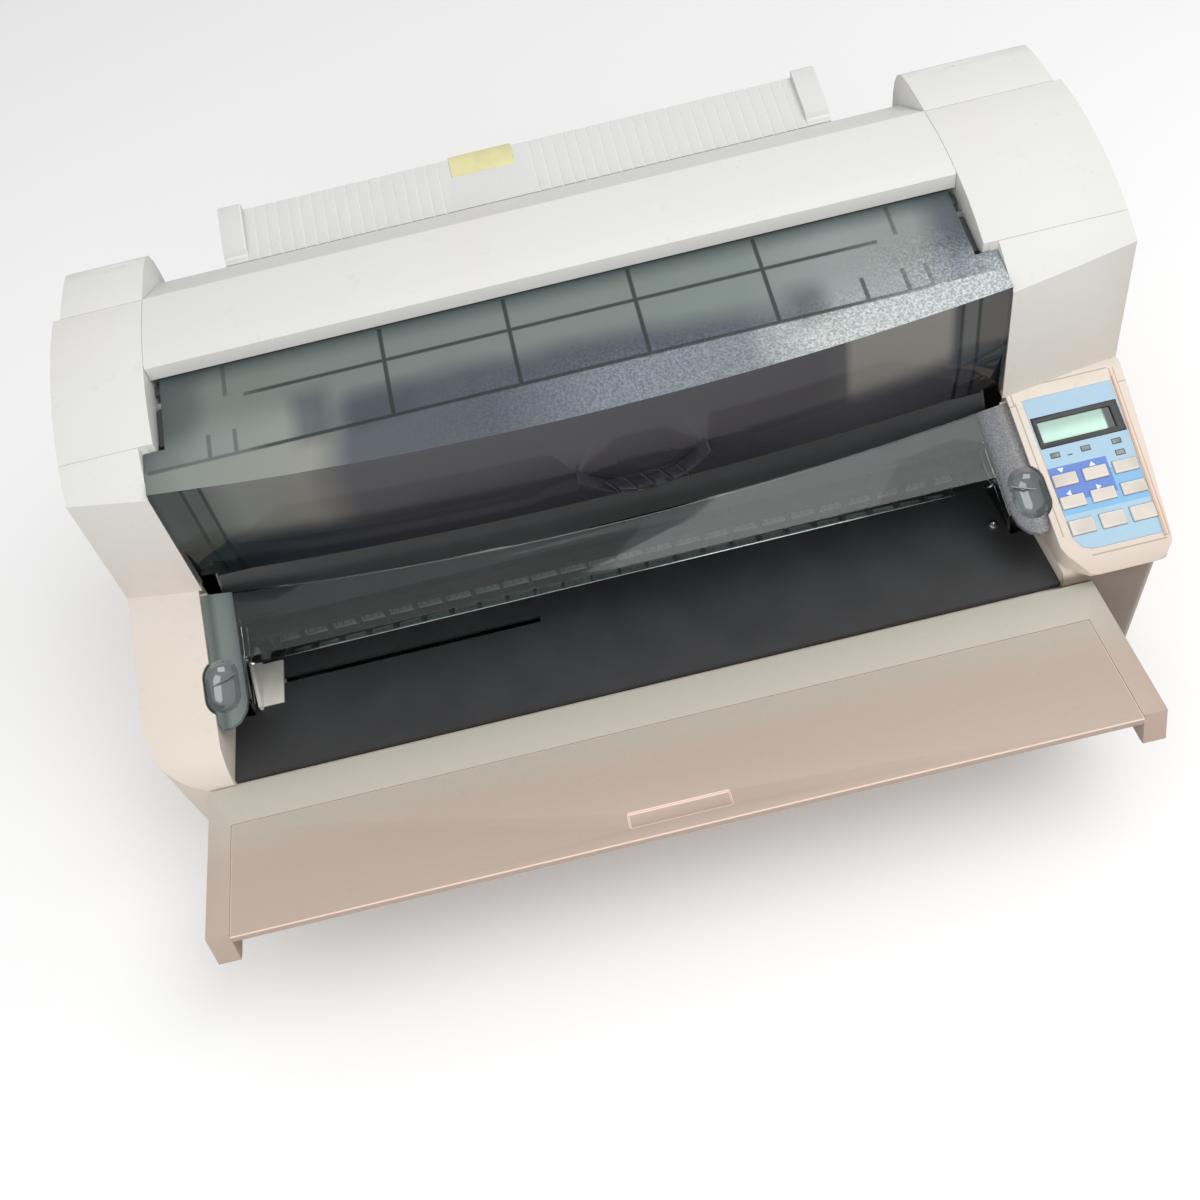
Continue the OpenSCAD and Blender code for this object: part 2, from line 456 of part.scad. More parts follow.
module edge_guide() color([0.92, 0.90, 0.86]) {
  difference() {
    union() {
      xext(CX - chw + 9.5, CX - chw + 11.9) polygon([[-74, path_h + 0.4], [-74, path_h + 5], [-50, path_h + 22], [-38, path_h + 22], [-38, path_h + 0.4]]);
      translate([CX - chw + 9.5, -72, path_h + 0.4]) cube([16, 34, 2]);
      translate([CX - chw + 12.5, -56, path_h - 5.8]) cube([10, 6 - 2 * run_gap, 7]);
    }
  }
  translate([CX - chw + 10.5, -60, path_h - 7]) cube([14, 13, 1.6]);
}
module feed_plate() color(c_dark) { rear_plate_body(); difference() {
  union() {
    translate([xl2 + 0.4, -121.4, path_h - 3.6]) cube([xr2 - xl2 - 0.8, 121.4 - 76, 3.6]);
    translate([sf_l, -76.2, path_h - 3.6]) cube([sf_r - sf_l, 76.2 - 3, 3.6]);
    translate([sf_l, -76.2, path_h - 12]) cube([sf_r - sf_l, 3, 9]);
  }
  // slot of the edge guide
  translate([CX - chw + 8.5, -56 - run_gap, path_h - 6]) cube([190, 6 + run_gap, 8]);
} }
module paper_comb() color(c_dark) {
  translate([sf_l, -34, path_h + 22]) cube([sf_r - sf_l, 8, 4]);
  for (k = [0:24]) translate([sf_l + 12 + k * (sf_r - sf_l - 26) / 24, -33, path_h + 3]) cube([2, 6, 20]);
}
module scale_strip() color([0.72, 0.80, 0.72]) translate([sf_l + 10, -20, path_h]) cube([sf_r - sf_l - 20, 9, 0.8]);
module inner_shield() color([0.20, 0.18, 0.16]) {
  xext(sf_l, sf_r) polygon([[-24, path_h + 30], [-22, path_h + 30], [-8, path_h + 62], [-2, path_h + 64], [-2, path_h + 66], [-9, path_h + 64]]);
}

// ---- frame and paper feed ----
module base_plate() color(c_steel) difference() {
  union() {
    translate([-hw + 22, front_y + 22, base_z]) cube([body_w - 52, rear_y - front_y - 42, base_t]);
    for (x = [-220, -20, 60, 200], y = [-96, 16]) if (!(x == 60 || x == 200) || y == -96) translate([x, y, base_z + base_t - e]) cylinder(d = 7, h = 6, $fn = 24);
  }
  for (x = [-150, 0, 150], y = [60, 130]) translate([x, y, base_z - 1]) cylinder(d = 30, h = 10);
  // slots for the inner walls of the case
  for (x = [xl2 - wall, xr2]) translate([x - 0.3, front_y, base_z - 1]) cube([wall + 0.6, -6.6 - front_y, 5]);
}
module side_frame(x0, s) color(c_steel) difference() {
  union() {
    xext(x0, x0 + frame_t) polygon([[-76, base_z + base_t], [-76, path_h - 12], [-60, path_h + 26], [-30, path_h + 34], [-14, path_h + 52], [0, path_h + 72], [10, path_h + 100], [30, path_h + 118], [120, path_h + 118], [150, path_h + 90], [158, path_h], [158, base_z + base_t]]);
    translate([s > 0 ? x0 : x0 + frame_t - 12, -70, base_z + base_t]) cube([12, 226, frame_t]);
  }
  for (y = [fr_y, rr_y]) xcyl(x0 - 1, x0 + frame_t + 1, y, roll_z, 8 + 2 * run_gap);
  for (y = [fr_y, rr_y]) xcyl(x0 - 1, x0 + frame_t + 1, y, pinch_z, 5 + 2 * run_gap);
  for (y = [tr_y]) xcyl(x0 - 1, x0 + frame_t + 1, y, path_h - 14, 8 + 2 * run_gap);
  if (s > 0) { xcyl(x0 - 1, x0 + frame_t + 1, ig_y, ig_z, 6); xcyl(x0 - 1, x0 + frame_t + 1, ig_y, mg_z, 14); }
}
module side_frame_left() { side_frame(sf_l - frame_t, -1); idler_mount(); }
module side_frame_right() { side_frame(sf_r, 1); idler_stud(); }
module platen_bar() color([0.25, 0.25, 0.26]) difference() {
  translate([sf_l, head_y - 11, path_h - 14]) cube([sf_r - sf_l, 22, 13.6]);
  translate([sf_l + 6, head_y - 8, path_h - 15]) cube([sf_r - sf_l - 12, 16, 9]);
}
module rear_plate_body() {
  translate([sf_l, rr_y + roller_d / 2 + 2.5, path_h - 3.6]) cube([sf_r - sf_l, 34, 3.6]);
  translate([sf_l, rr_y + roller_d / 2 + 33.5, path_h - 12]) cube([sf_r - sf_l, 3, 9]);
}
module gear2d(r, n) { ro = r - 0.35; ri = r - 2.2; a = 360 / n;
  polygon([for (k = [0:n - 1]) for (p = [[ri, -0.36], [ro, -0.17], [ro, 0.17], [ri, 0.36]]) [p[0] * cos((k + p[1]) * a), p[0] * sin((k + p[1]) * a)]]); }
module gear(x0, w, y, z, r, bore) translate([x0, y, z]) rotate([90, 0, 90]) difference() { linear_extrude(w) gear2d(r, round(r * 1.5)); if (bore > 0) translate([0, 0, -1]) cylinder(d = bore, h = w + 2); }
module roller(y) {
  n = 9; p = (sf_r - sf_l - 30) / n;
  xcyl(sf_l - frame_t - 4, gear_x + gear_w + 2, y, roll_z, 8);
  for (k = [0:n - 1]) xcyl(sf_l + 15 + p * (k + 0.16), sf_l + 15 + p * (k + 0.84), y, roll_z, roller_d);
  xcyl(sf_r + frame_t + 0.3, gear_x, y, roll_z, 12);
  gear(gear_x, gear_w, y, roll_z, rg_r, 0);
}
module front_roller() color(c_dark) roller(fr_y);
module rear_roller() color(c_dark) roller(rr_y);
module pinch(y) {
  n = 9; p = (sf_r - sf_l - 30) / n;
  xcyl(sf_l - frame_t - 3, sf_r + frame_t + 0.8, y, pinch_z, 5);
  for (k = [0:n - 1]) xcyl(sf_l + 15 + p * (k + 0.3), sf_l + 15 + p * (k + 0.7), y, pinch_z, pinch_d);
}
module front_pinch() color([0.3, 0.3, 0.32]) pinch(fr_y);
module rear_pinch() color([0.3, 0.3, 0.32]) pinch(rr_y);
module idler_stud() color(c_steel) { xcyl(sf_r - 2, gear_x + gear_w + 1, ig_y, ig_z, 6); xcyl(gear_x + gear_w + 0.4, gear_x + gear_w + 2, ig_y, ig_z, 10); xcyl(sf_r - 2, sf_r, ig_y, ig_z, 9); }
module idler_gear() color([0.85, 0.85, 0.82]) gear(gear_x, gear_w, ig_y, ig_z, ig_r, 6 + 2 * run_gap);
module feed_motor() color(c_steel) { xcyl(sf_r - 30, sf_r, ig_y, mg_z, 34); xcyl(sf_r - e, sf_r + 1.4, ig_y, mg_z, 13.6); }
module motor_gear() color([0.8, 0.68, 0.4]) { gear(gear_x, gear_w, ig_y, mg_z, mg_r, 0); xcyl(sf_r + 1.6, gear_x + e, ig_y, mg_z, 5); }

// ---- carriage ----
module carriage_rails() color(c_steel) { xcyl(sf_l, sf_r, shaft_y, shaft_z, shaft_d); translate([sf_l, -1, rail_z]) cube([sf_r - sf_l, 12, 2]); translate([sf_l, 9, rail_z - 12]) cube([sf_r - sf_l, 2, 13]); }
module carriage() color(c_black) difference() {
  union() {
    translate([CX - 32, shaft_y - 13, shaft_z - 13]) cube([64, 26, 26]);
    translate([CX - 30, 16, shaft_z + 4]) cube([60, 60, 5]);
    translate([CX - 30, 16, shaft_z + 4]) cube([4, 60, 25]);
    translate([CX + 26, 16, shaft_z + 4]) cube([4, 60, 25]);
    translate([CX - 10, 2, rail_z + 2.1]) cube([20, 20, 5]);
    translate([CX - 30, 14, shaft_z + 4]) cube([60, 5, 15]);
    // belt clamp
    translate([CX - 10, shaft_y + 12, belt_z - 5]) cube([20, belt_y - pul_r - shaft_y - 12 - 1, 10]);
  }
  xcyl(CX - 40, CX + 40, shaft_y, shaft_z, shaft_d + 2 * run_gap);
  translate([CX, head_y + 2, shaft_z]) cylinder(d = head_d + 0.1, h = 60);
}
module print_head() color([0.35, 0.36, 0.38]) {
  difference() {
    translate([CX, head_y + 2, shaft_z - 8]) cylinder(d = head_d, h = 36);
    for (k = [0:5]) translate([CX, head_y + 2, shaft_z + 11 + k * 3]) difference() { cylinder(d = head_d + 2, h = 1.2); translate([0, 0, -1]) cylinder(d = head_d - 8, h = 4); }
  }
  xext(CX - 5, CX + 5) polygon([[head_y - 14, shaft_z - 8 + e], [head_y - 3, path_h + 4], [head_y - 2.6, path_h + 1.4], [head_y + 2.6, path_h + 1.4], [head_y + 3, path_h + 4], [head_y + 18, shaft_z - 8 + e]]);
}
module ribbon_cartridge() color(c_black) {
  translate([CX - 70, 25 - 1, shaft_z + 29]) cube([140, 58, 15]);
  translate([CX - 66, 70, shaft_z + 20]) cube([12, 8, 10]);
  translate([CX + 54, 70, shaft_z + 20]) cube([12, 8, 10]);
  for (s = [-1, 1]) { translate([CX + s * 42 - 4, head_y - 4, path_h + 5]) cube([8, 8, shaft_z + 30 - path_h - 5]); }
  translate([CX - 42, head_y - 4.4 + 1, path_h + 5]) cube([36, 1, 10]);
  translate([CX + 6, head_y - 4.4 + 1, path_h + 5]) cube([36, 1, 10]);
}
module belt() color(c_black) translate([0, 0, belt_z - 3]) linear_extrude(6) difference() {
  union() { translate([pul_l, belt_y - pul_r - 0.8]) square([pul_r_x - pul_l, 2 * pul_r + 1.6]); for (x = [pul_l, pul_r_x]) translate([x, belt_y]) circle(r = pul_r + 0.8, $fn = 64); }
  union() { translate([pul_l, belt_y - pul_r + 0.2]) square([pul_r_x - pul_l, 2 * pul_r - 0.4]); for (x = [pul_l, pul_r_x]) translate([x, belt_y]) circle(r = pul_r + 0.2, $fn = 64); }
}
module pulley(x) { translate([x, belt_y, belt_z - 3.8]) cylinder(r = pul_r, h = 7.6); translate([x, belt_y, belt_z - 5]) cylinder(r = pul_r + 2, h = 1.2); translate([x, belt_y, belt_z + 3.8]) cylinder(r = pul_r + 2, h = 1.2); }
module drive_pulley() color([0.8, 0.8, 0.82]) { pulley(pul_r_x); translate([pul_r_x, belt_y, belt_z - 8]) cylinder(d = 6, h = 4); }
module idler_pulley() color([0.8, 0.8, 0.82]) difference() { pulley(pul_l); translate([pul_l, belt_y, belt_z - 10]) cylinder(d = 6 + 2 * run_gap, h = 20); }
module idler_mount() color(c_steel) { translate([sf_l, belt_y - 10, belt_z - 9]) cube([pul_l - sf_l + 8, 20, 3]); translate([pul_l, belt_y, belt_z - 7]) cylinder(d = 6, h = 13.6); translate([pul_l, belt_y, belt_z + 5.4]) cylinder(d = 10, h = 1.6); }
module carriage_motor() color([0.3, 0.31, 0.33]) { translate([pul_r_x, belt_y, belt_z - 44]) cylinder(d = 36, h = 33); translate([pul_r_x - 18, belt_y - 18, belt_z - 11.2]) cube([sf_r - pul_r_x + 18, 36, 3]); }

// ---- tractors ----
module tractor_shaft() color(c_steel) { xcyl(sf_l - frame_t - 2, sf_r + frame_t + 2, tr_y, path_h - 14, 8); }
module tractor(x) color(c_black) difference() {
  union() {
    xext(x - 9, x + 9) polygon([[tr_y - 22, path_h - 4], [tr_y - 20, path_h - 22], [tr_y + 18, path_h - 22], [tr_y + 19, path_h - 4], [tr_y + 12, path_h - 0.6], [tr_y - 14, path_h - 0.6]]);
    for (y = [-10, 0, 10]) translate([x + 4, tr_y + y, path_h - 1]) cylinder(d = 3.6, h = 2.2, $fn = 24);
    for (y = [-17.4, 12.4]) translate([x - 9, tr_y + y, path_h - 5]) cube([4.4, 2.6, 9]);
  }
  xcyl(x - 10, x + 10, tr_y, path_h - 14, 8 + 2 * run_gap);
  translate([x - 6.8, tr_y - 20, path_h + 2.1]) rotate([-90, 0, 0]) cylinder(d = 2 + 2 * run_gap, h = 40, $fn = 24);
}
module tractor_left() tractor(CX - chw + 41.5);
module tractor_right() tractor(CX + chw - 106.5);
module tractor_gate(x) color([0.25, 0.25, 0.26]) {
  difference() {
    translate([x - 8.6, tr_y - 14, path_h + 0.9]) cube([17.6, 26, 2.4]);
    for (y = [-10, 0, 10]) translate([x + 4, tr_y + y, path_h]) cylinder(d = 5, h = 2.2, $fn = 24);
  }
  translate([x - 6.8, tr_y - 17, path_h + 2.1]) rotate([-90, 0, 0]) cylinder(d = 2, h = 31.8, $fn = 24);
}
module gate_left() tractor_gate(CX - chw + 41.5);
module gate_right() tractor_gate(CX + chw - 106.5);

// ---- rear sheet guide ----
function gl(y) = gh_z + 8 + (y - (rear_y - 7.5)) * 0.3;
module rear_guide() color(c_case2) {
  difference() {
    xext(CX - g_half + 14, CX + g_half - 14) polygon([[rear_y - 10.6, gl(rear_y - 10.6)], [rear_y + 31, gl(rear_y + 31)], [rear_y + 31, gl(rear_y + 31) - 3], [rear_y - 9, gl(rear_y - 9) - 3], [rear_y - 10.6, gl(rear_y - 10.6) - 2]]);
    translate([-62, rear_y + 16, gh_z]) cube([42, 30, 14.6]);
    for (k = [-floor((g_half - 18) / 8):floor((g_half - 18) / 8)]) if (CX + k * 8 > -15 || CX + k * 8 < -66) xext(CX + k * 8 - 0.5, CX + k * 8 + 0.5) polygon([[rear_y - 12, gl(rear_y - 12) - 0.5], [rear_y + 33, gl(rear_y + 33) - 0.5], [rear_y + 33, gl(rear_y + 33) + 5], [rear_y - 12, gl(rear_y - 12) + 5]]);
    translate([-63, rear_y + 16, 0]) cube([44, 30, 400]);
  }
  for (s = [-1, 1]) {
    xext(CX + s * (g_half - 25) - 2.8, CX + s * (g_half - 25) + 2.8) polygon([[gh_y - 2, gh_z - 3.4], [gh_y + 2, gh_z - 3.4], [gh_y + 4, gh_z], [rear_y + 8, gl(rear_y + 8) - 2.6], [rear_y - 4, gl(rear_y - 4) - 2.6], [gh_y - 3.4, gh_z]]);
    xcyl(CX + s * (g_half - 20.5) - 5.5, CX + s * (g_half - 20.5) + 5.5, gh_y, gh_z, 5);
  }
}
module guide_cap(x0) color(c_case2) xext(x0, x0 + 16) polygon([[gh_y - 6.8, gh_z + 4.5], [gh_y - 6.8, gh_z + 7.6], [gh_y - 3.2, gh_z + 9.2], [gh_y - 1.2, gh_z + 12], [gh_y + 1, gh_z + 13.8], [rear_y + 29, gl(rear_y + 29) + 5.4], [rear_y + 32, gl(rear_y + 32) + 4], [rear_y + 32, gl(rear_y + 32) - 4], [rear_y + 6, gl(rear_y + 6) - 8]]);
module guide_caps() { guide_cap(CX - g_half - 2); guide_cap(CX + g_half - 14); }
module guide_tab() color([0.93, 0.90, 0.66]) xext(-62.8, -19.2) polygon([[rear_y + 16, gl(rear_y + 16)], [rear_y + 33, gl(rear_y + 33)], [rear_y + 33, gl(rear_y + 33) - 3], [rear_y + 16, gl(rear_y + 16) - 3]]);

// ---- electrics ----
module main_board() color([0.12, 0.36, 0.22]) {
  translate([-236, -104 + 2, base_z + base_t + 6 - e]) cube([240, 126, 1.6]);
  for (x = [-200, -150, -100, -40]) translate([x, -60, base_z + base_t + 7]) cube([30, 30, 5]);
  for (x = [-210, -180]) translate([x, -10, base_z + base_t + 7]) cylinder(d = 16, h = 26, $fn = 32);
  translate([-120, 0, base_z + base_t + 7]) cube([90, 14, 12]);
}
module power_supply() color(c_steel) difference() {
  translate([50, -100, base_z + base_t + 6 - e]) cube([150, 100, 52]);
  for (k = [0:13]) translate([60 + k * 10, -110, base_z + 24]) cube([4, 120, 26]);
}
module power_inlet() color(c_black) difference() {
  union() { translate([-hw + 60.2, rear_y - 22, 30.2]) cube([27.6, 22, 20.6]); translate([-hw + 56, rear_y, 27]) cube([36, 2.4, 27]); }
  translate([-hw + 63, rear_y - 14, 33]) cube([22, 20, 15]);
}
module data_port() color(c_steel) difference() {
  union() { translate([150.2, rear_y - 18, 28.2]) cube([65.6, 18, 19.6]); translate([144, rear_y, 25]) cube([78, 2, 26]); }
  translate([154, rear_y - 6, 32]) cube([58, 10, 12]);
}
module power_switch() color(c_black) {
  xext(xl2 + 2.4, xl2 + 11.6) polygon([[front_y - 3.6, 37.4], [front_y - 0.8, 44.5], [front_y - 1.2, 51.6], [front_y + 3, 51.4], [front_y + 9, 46], [front_y + 9, 43], [front_y + 3, 37.2]]);
  xcyl(xl2 + 0.6, xl2 + 13.4, front_y + 4, 44.5, 3);
}
module feet() color([0.15, 0.15, 0.15]) for (x = [-hw + 50, hw - 60], y = [-90, 150]) translate([x, y, 0]) cylinder(d = 22, h = base_z - 3);

translate([0, oy, 0]) {
  lower_case();
  upper_case();
  side_caps();
  centre_cover();
  front_cover();
  lower_cover();
  key_housing();
  key_label();
  lcd_bezel();
  lcd_glass();
  key_1();
  key_2();
  key_3();
  key_4();
  key_5();
  key_6();
  key_7();
  key_8();
  key_9();
  key_board();
  table();
  table_extension();
  edge_guide();
  feed_plate();
  paper_comb();
  scale_strip();
  inner_shield();
  base_plate();
  side_frame_left();
  side_frame_right();
  platen_bar();
  front_roller();
  rear_roller();
  front_pinch();
  rear_pinch();
  idler_gear();
  feed_motor();
  motor_gear();
  carriage_rails();
  carriage();
  print_head();
  ribbon_cartridge();
  belt();
  drive_pulley();
  idler_pulley();
  carriage_motor();
  tractor_shaft();
  tractor_left();
  tractor_right();
  gate_left();
  gate_right();
  rear_guide();
  guide_caps();
  guide_tab();
  main_board();
  power_supply();
  power_inlet();
  data_port();
  power_switch();
  feet();
}
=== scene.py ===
import json
import math

import bmesh
import bpy
from mathutils import Matrix, Vector

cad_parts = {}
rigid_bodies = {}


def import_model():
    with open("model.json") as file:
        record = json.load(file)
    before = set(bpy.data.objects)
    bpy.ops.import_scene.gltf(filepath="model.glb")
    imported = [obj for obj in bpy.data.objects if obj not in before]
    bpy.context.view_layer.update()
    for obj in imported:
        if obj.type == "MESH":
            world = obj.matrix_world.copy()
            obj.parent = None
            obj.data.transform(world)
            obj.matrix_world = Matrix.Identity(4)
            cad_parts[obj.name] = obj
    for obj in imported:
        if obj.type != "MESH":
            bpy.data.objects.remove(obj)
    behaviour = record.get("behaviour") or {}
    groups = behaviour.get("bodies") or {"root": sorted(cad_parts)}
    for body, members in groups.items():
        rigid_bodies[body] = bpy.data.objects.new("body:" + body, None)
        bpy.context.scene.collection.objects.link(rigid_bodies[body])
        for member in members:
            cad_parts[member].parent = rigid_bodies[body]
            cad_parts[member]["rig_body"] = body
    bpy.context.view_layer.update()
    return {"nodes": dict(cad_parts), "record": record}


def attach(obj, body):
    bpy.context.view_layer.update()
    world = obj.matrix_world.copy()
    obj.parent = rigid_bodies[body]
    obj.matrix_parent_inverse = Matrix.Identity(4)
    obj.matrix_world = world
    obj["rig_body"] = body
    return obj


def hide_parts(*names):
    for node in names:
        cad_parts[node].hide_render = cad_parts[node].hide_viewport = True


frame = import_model()
nodes = frame["nodes"]
mm = 0.001

# Lengths below are in mm, in the printer's own coordinates: Y runs back from the middle of the front seam.
FRAME_SHIFT = 8.25  # what the frame's Y adds to the printer's own
KEY_COUNT = 9
SMOOTH_UNDER = math.radians(32.0)  # edges with a smaller angle are shaded smooth
ROUND_OVER = math.radians(28.0)  # edges with a larger angle are rounded

# the plane of the keys and the lower cover, and its top edge
SLOPE = math.radians(22.0)
FOOT_Y, FOOT_Z = -10.0, 156.0

# front cover
CX = -15.0  # its middle
COVER_WIDE, COVER_NARROW = 260.8, 247.5  # half its width at the face, and between the end caps
PIN_Y, PIN_Z, PIN_BOSS = 55.0, 245.0, 3.4  # hinge pins, and the radius that is bright
COVER_BACK_Y, COVER_BACK_Z, COVER_FALL = 69.5, 256.3, 0.282  # back edge of the top plate, and its slope
PLATE_SKIN = 1.2  # what counts as the top plate's upper face
RIB_TOP, RIB_FOOT, RIB_FRONT_Y = 3.4, 10.5, 2.0  # the ribs' heights, down from the top plate, and their front end

# lower cover: where its side arms start, and its finger bowls
ARM_INNER = 243.2  # outwards from CX
BOWL_X, BOWL_DOWN, BOWL_RADIUS, BOWL_STRAIGHT = 257.0, 71.0, 13.4, 6.5
BOWL_RIM = -0.75  # height above the slope
LAMP_FOOT = -7.5  # the same, for the lamps on the key board


def place(x, y, z):
    """A point of the frame, in metres, from the printer's own mm."""
    return Vector((x * mm, (y + FRAME_SHIFT) * mm, z * mm))


def on_slope(x, down, up=0.0):
    """A point on the plane of the keys and the lower cover: mm across, down from its top edge, and above it."""
    c, s = math.cos(SLOPE), math.sin(SLOPE)
    return place(x, FOOT_Y - down * c - up * s, FOOT_Z - down * s + up * c)


def cover_top(y):
    """Height of the front cover's top plate, which falls towards the front."""
    return COVER_BACK_Z - (COVER_BACK_Y - y) * COVER_FALL


def above_slope(y, z):
    """Height above the plane of the keys and the lower cover."""
    return (z - FOOT_Z - (y - FOOT_Y) * math.tan(SLOPE)) * math.cos(SLOPE)


# ---------------------------------------------------------------- shader building blocks
def new_group(name, inputs, outputs):
    """An empty node group with its sockets, and its two end nodes."""
    g = bpy.data.node_groups.new(name, "ShaderNodeTree")
    for label, value in inputs:
        kind = "NodeSocketColor" if isinstance(value, tuple) else "NodeSocketFloat"
        s = g.interface.new_socket(label, in_out="INPUT", socket_type=kind)
        s.default_value = value
    for label, kind in outputs:
        g.interface.new_socket(label, in_out="OUTPUT", socket_type=kind)
    gi = g.nodes.new("NodeGroupInput")
    go = g.nodes.new("NodeGroupOutput")
    return g, gi, go


def node(tree, kind, **settings):
    """A node with its sockets or its settings filled in by name."""
    n = tree.nodes.new(kind)
    for k, v in settings.items():
        if k in n.inputs:
            n.inputs[k].default_value = v
        else:
            setattr(n, k, v)
    return n


def math_node(tree, op, a, b=None, clamp=False):
    """One sum of numbers or sockets."""
    n = tree.nodes.new("ShaderNodeMath")
    n.operation = op
    n.use_clamp = clamp
    for k, v in enumerate((a, b)):
        if v is None:
            continue
        if isinstance(v, (int, float)):
            n.inputs[k].default_value = v
        else:
            tree.links.new(v, n.inputs[k])
    return n.outputs[0]


def ramp(tree, value, lo, hi, out_lo=0.0, out_hi=1.0, kind="LINEAR"):
    """Maps lo..hi onto out_lo..out_hi, and holds the ends."""
    n = tree.nodes.new("ShaderNodeMapRange")
    n.interpolation_type = kind
    n.inputs["From Min"].default_value = lo
    n.inputs["From Max"].default_value = hi
    n.inputs["To Min"].default_value = out_lo
    n.inputs["To Max"].default_value = out_hi
    tree.links.new(value, n.inputs["Value"])
    return n.outputs["Result"]


def mix_colour(tree, factor, a, b, blend="MIX"):
    """Blends two colours, each a tuple or a socket."""
    n = tree.nodes.new("ShaderNodeMix")
    n.data_type = "RGBA"
    n.blend_type = blend
    if isinstance(factor, (int, float)):
        n.inputs[0].default_value = factor
    else:
        tree.links.new(factor, n.inputs[0])
    for socket, v in ((n.inputs[6], a), (n.inputs[7], b)):
        if isinstance(v, tuple):
            socket.default_value = v if len(v) == 4 else (*v, 1.0)
        else:
            tree.links.new(v, socket)
    return n.outputs[2]


def object_axes(tree):
    """The object coordinates, and X, Y, Z in the printer's mm."""
    co = tree.nodes.new("ShaderNodeTexCoord").outputs["Object"]
    xyz = tree.nodes.new("ShaderNodeSeparateXYZ")
    tree.links.new(co, xyz.inputs[0])
    x = math_node(tree, "MULTIPLY", xyz.outputs["X"], 1000.0)
    y = math_node(tree, "SUBTRACT", math_node(tree, "MULTIPLY", xyz.outputs["Y"], 1000.0), FRAME_SHIFT)
    z = math_node(tree, "MULTIPLY", xyz.outputs["Z"], 1000.0)
    return co, x, y, z


def noise(tree, co, scale, detail=3.0, rough=0.55, stretch=None):
    """Soft noise from 0 to 1, finer along an axis that is stretched."""
    if stretch:
        m = node(tree, "ShaderNodeMapping", Scale=stretch)
        tree.links.new(co, m.inputs["Vector"])
        co = m.outputs["Vector"]
    n = node(tree, "ShaderNodeTexNoise", Scale=scale, Detail=detail, Roughness=rough)
    tree.links.new(co, n.inputs["Vector"])
    return n.outputs["Fac"]


def box_mask(tree, u, v, u0, u1, v0, v1, soft=0.15):
    """1 inside a rectangle of the two coordinates, with a soft edge in mm."""
    parts = []
    for value, lo, hi in ((u, u0, u1), (v, v0, v1)):
        away = math_node(tree, "ABSOLUTE", math_node(tree, "SUBTRACT", value, (lo + hi) / 2))
        parts.append(ramp(tree, away, (hi - lo) / 2 - soft, (hi - lo) / 2 + soft, 1.0, 0.0))
    return math_node(tree, "MULTIPLY", *parts)


def any_of(tree, masks):
    """The strongest of several masks."""
    out = masks[0]
    for m in masks[1:]:
        out = math_node(tree, "MAXIMUM", out, m)
    return out


def build_moulded_grain():
    """Spark-eroded mould texture: a fine pebble height and a slow swirl of gloss."""
    g, gi, go = new_group(
        "moulded_grain",
        [("Grain Size", 1400.0), ("Swirl Size", 18.0)],
        [("Height", "NodeSocketFloat"), ("Gloss", "NodeSocketFloat")],
    )
    co = g.nodes.new("ShaderNodeTexCoord")
    pebble = node(g, "ShaderNodeTexNoise", Detail=2.0, Roughness=0.6)
    swirl = node(g, "ShaderNodeTexNoise", Detail=3.0, Roughness=0.55)
    for n, label in ((pebble, "Grain Size"), (swirl, "Swirl Size")):
        g.links.new(co.outputs["Object"], n.inputs["Vector"])
        g.links.new(gi.outputs[label], n.inputs["Scale"])
    g.links.new(ramp(g, pebble.outputs["Fac"], 0.3, 0.7), go.inputs["Height"])
    g.links.new(ramp(g, swirl.outputs["Fac"], 0.3, 0.7, -1.0, 1.0), go.inputs["Gloss"])
    return g


def build_aged_plastic():
    """Colour of old office plastic: warmer towards the desk, patchy, with faint rubbed-in dust."""
    g, gi, go = new_group(
        "aged_plastic",
        [
            ("Fresh", (0.8, 0.8, 0.76, 1.0)),
            ("Aged", (0.7, 0.62, 0.5, 1.0)),
            ("Dust", (0.35, 0.3, 0.25, 1.0)),
            ("Low", 0.08),
            ("High", 0.26),
            ("Dust Amount", 0.25),
        ],
        [("Color", "NodeSocketColor")],
    )
    co = g.nodes.new("ShaderNodeTexCoord")
    xyz = g.nodes.new("ShaderNodeSeparateXYZ")
    g.links.new(co.outputs["Object"], xyz.inputs[0])
    near_desk = g.nodes.new("ShaderNodeMapRange")
    near_desk.interpolation_type = "SMOOTHSTEP"
    g.links.new(xyz.outputs["Z"], near_desk.inputs["Value"])
    g.links.new(gi.outputs["Low"], near_desk.inputs["From Min"])
    g.links.new(gi.outputs["High"], near_desk.inputs["From Max"])
    near_desk.inputs["To Min"].default_value = 1.0
    near_desk.inputs["To Max"].default_value = 0.0
    patch = node(g, "ShaderNodeTexNoise", Scale=7.0, Detail=3.0, Roughness=0.5)
    g.links.new(co.outputs["Object"], patch.inputs["Vector"])
    patchy = ramp(g, patch.outputs["Fac"], 0.3, 0.7, -0.16, 0.16)
    age = math_node(g, "ADD", near_desk.outputs["Result"], patchy, clamp=True)
    base = mix_colour(g, age, gi.outputs["Fresh"], gi.outputs["Aged"])
    speck = node(g, "ShaderNodeTexNoise", Scale=160.0, Detail=4.0, Roughness=0.7)
    cloud = node(g, "ShaderNodeTexNoise", Scale=22.0, Detail=2.0, Roughness=0.5)
    for pattern in (speck, cloud):
        g.links.new(co.outputs["Object"], pattern.inputs["Vector"])
    fine = ramp(g, speck.outputs["Fac"], 0.58, 0.75)
    where = ramp(g, cloud.outputs["Fac"], 0.45, 0.7)
    dust = math_node(g, "MULTIPLY", math_node(g, "MULTIPLY", fine, where), gi.outputs["Dust Amount"])
    g.links.new(mix_colour(g, dust, base, gi.outputs["Dust"]), go.inputs["Color"])
    return g


grain_group = build_moulded_grain()
aged_group = build_aged_plastic()


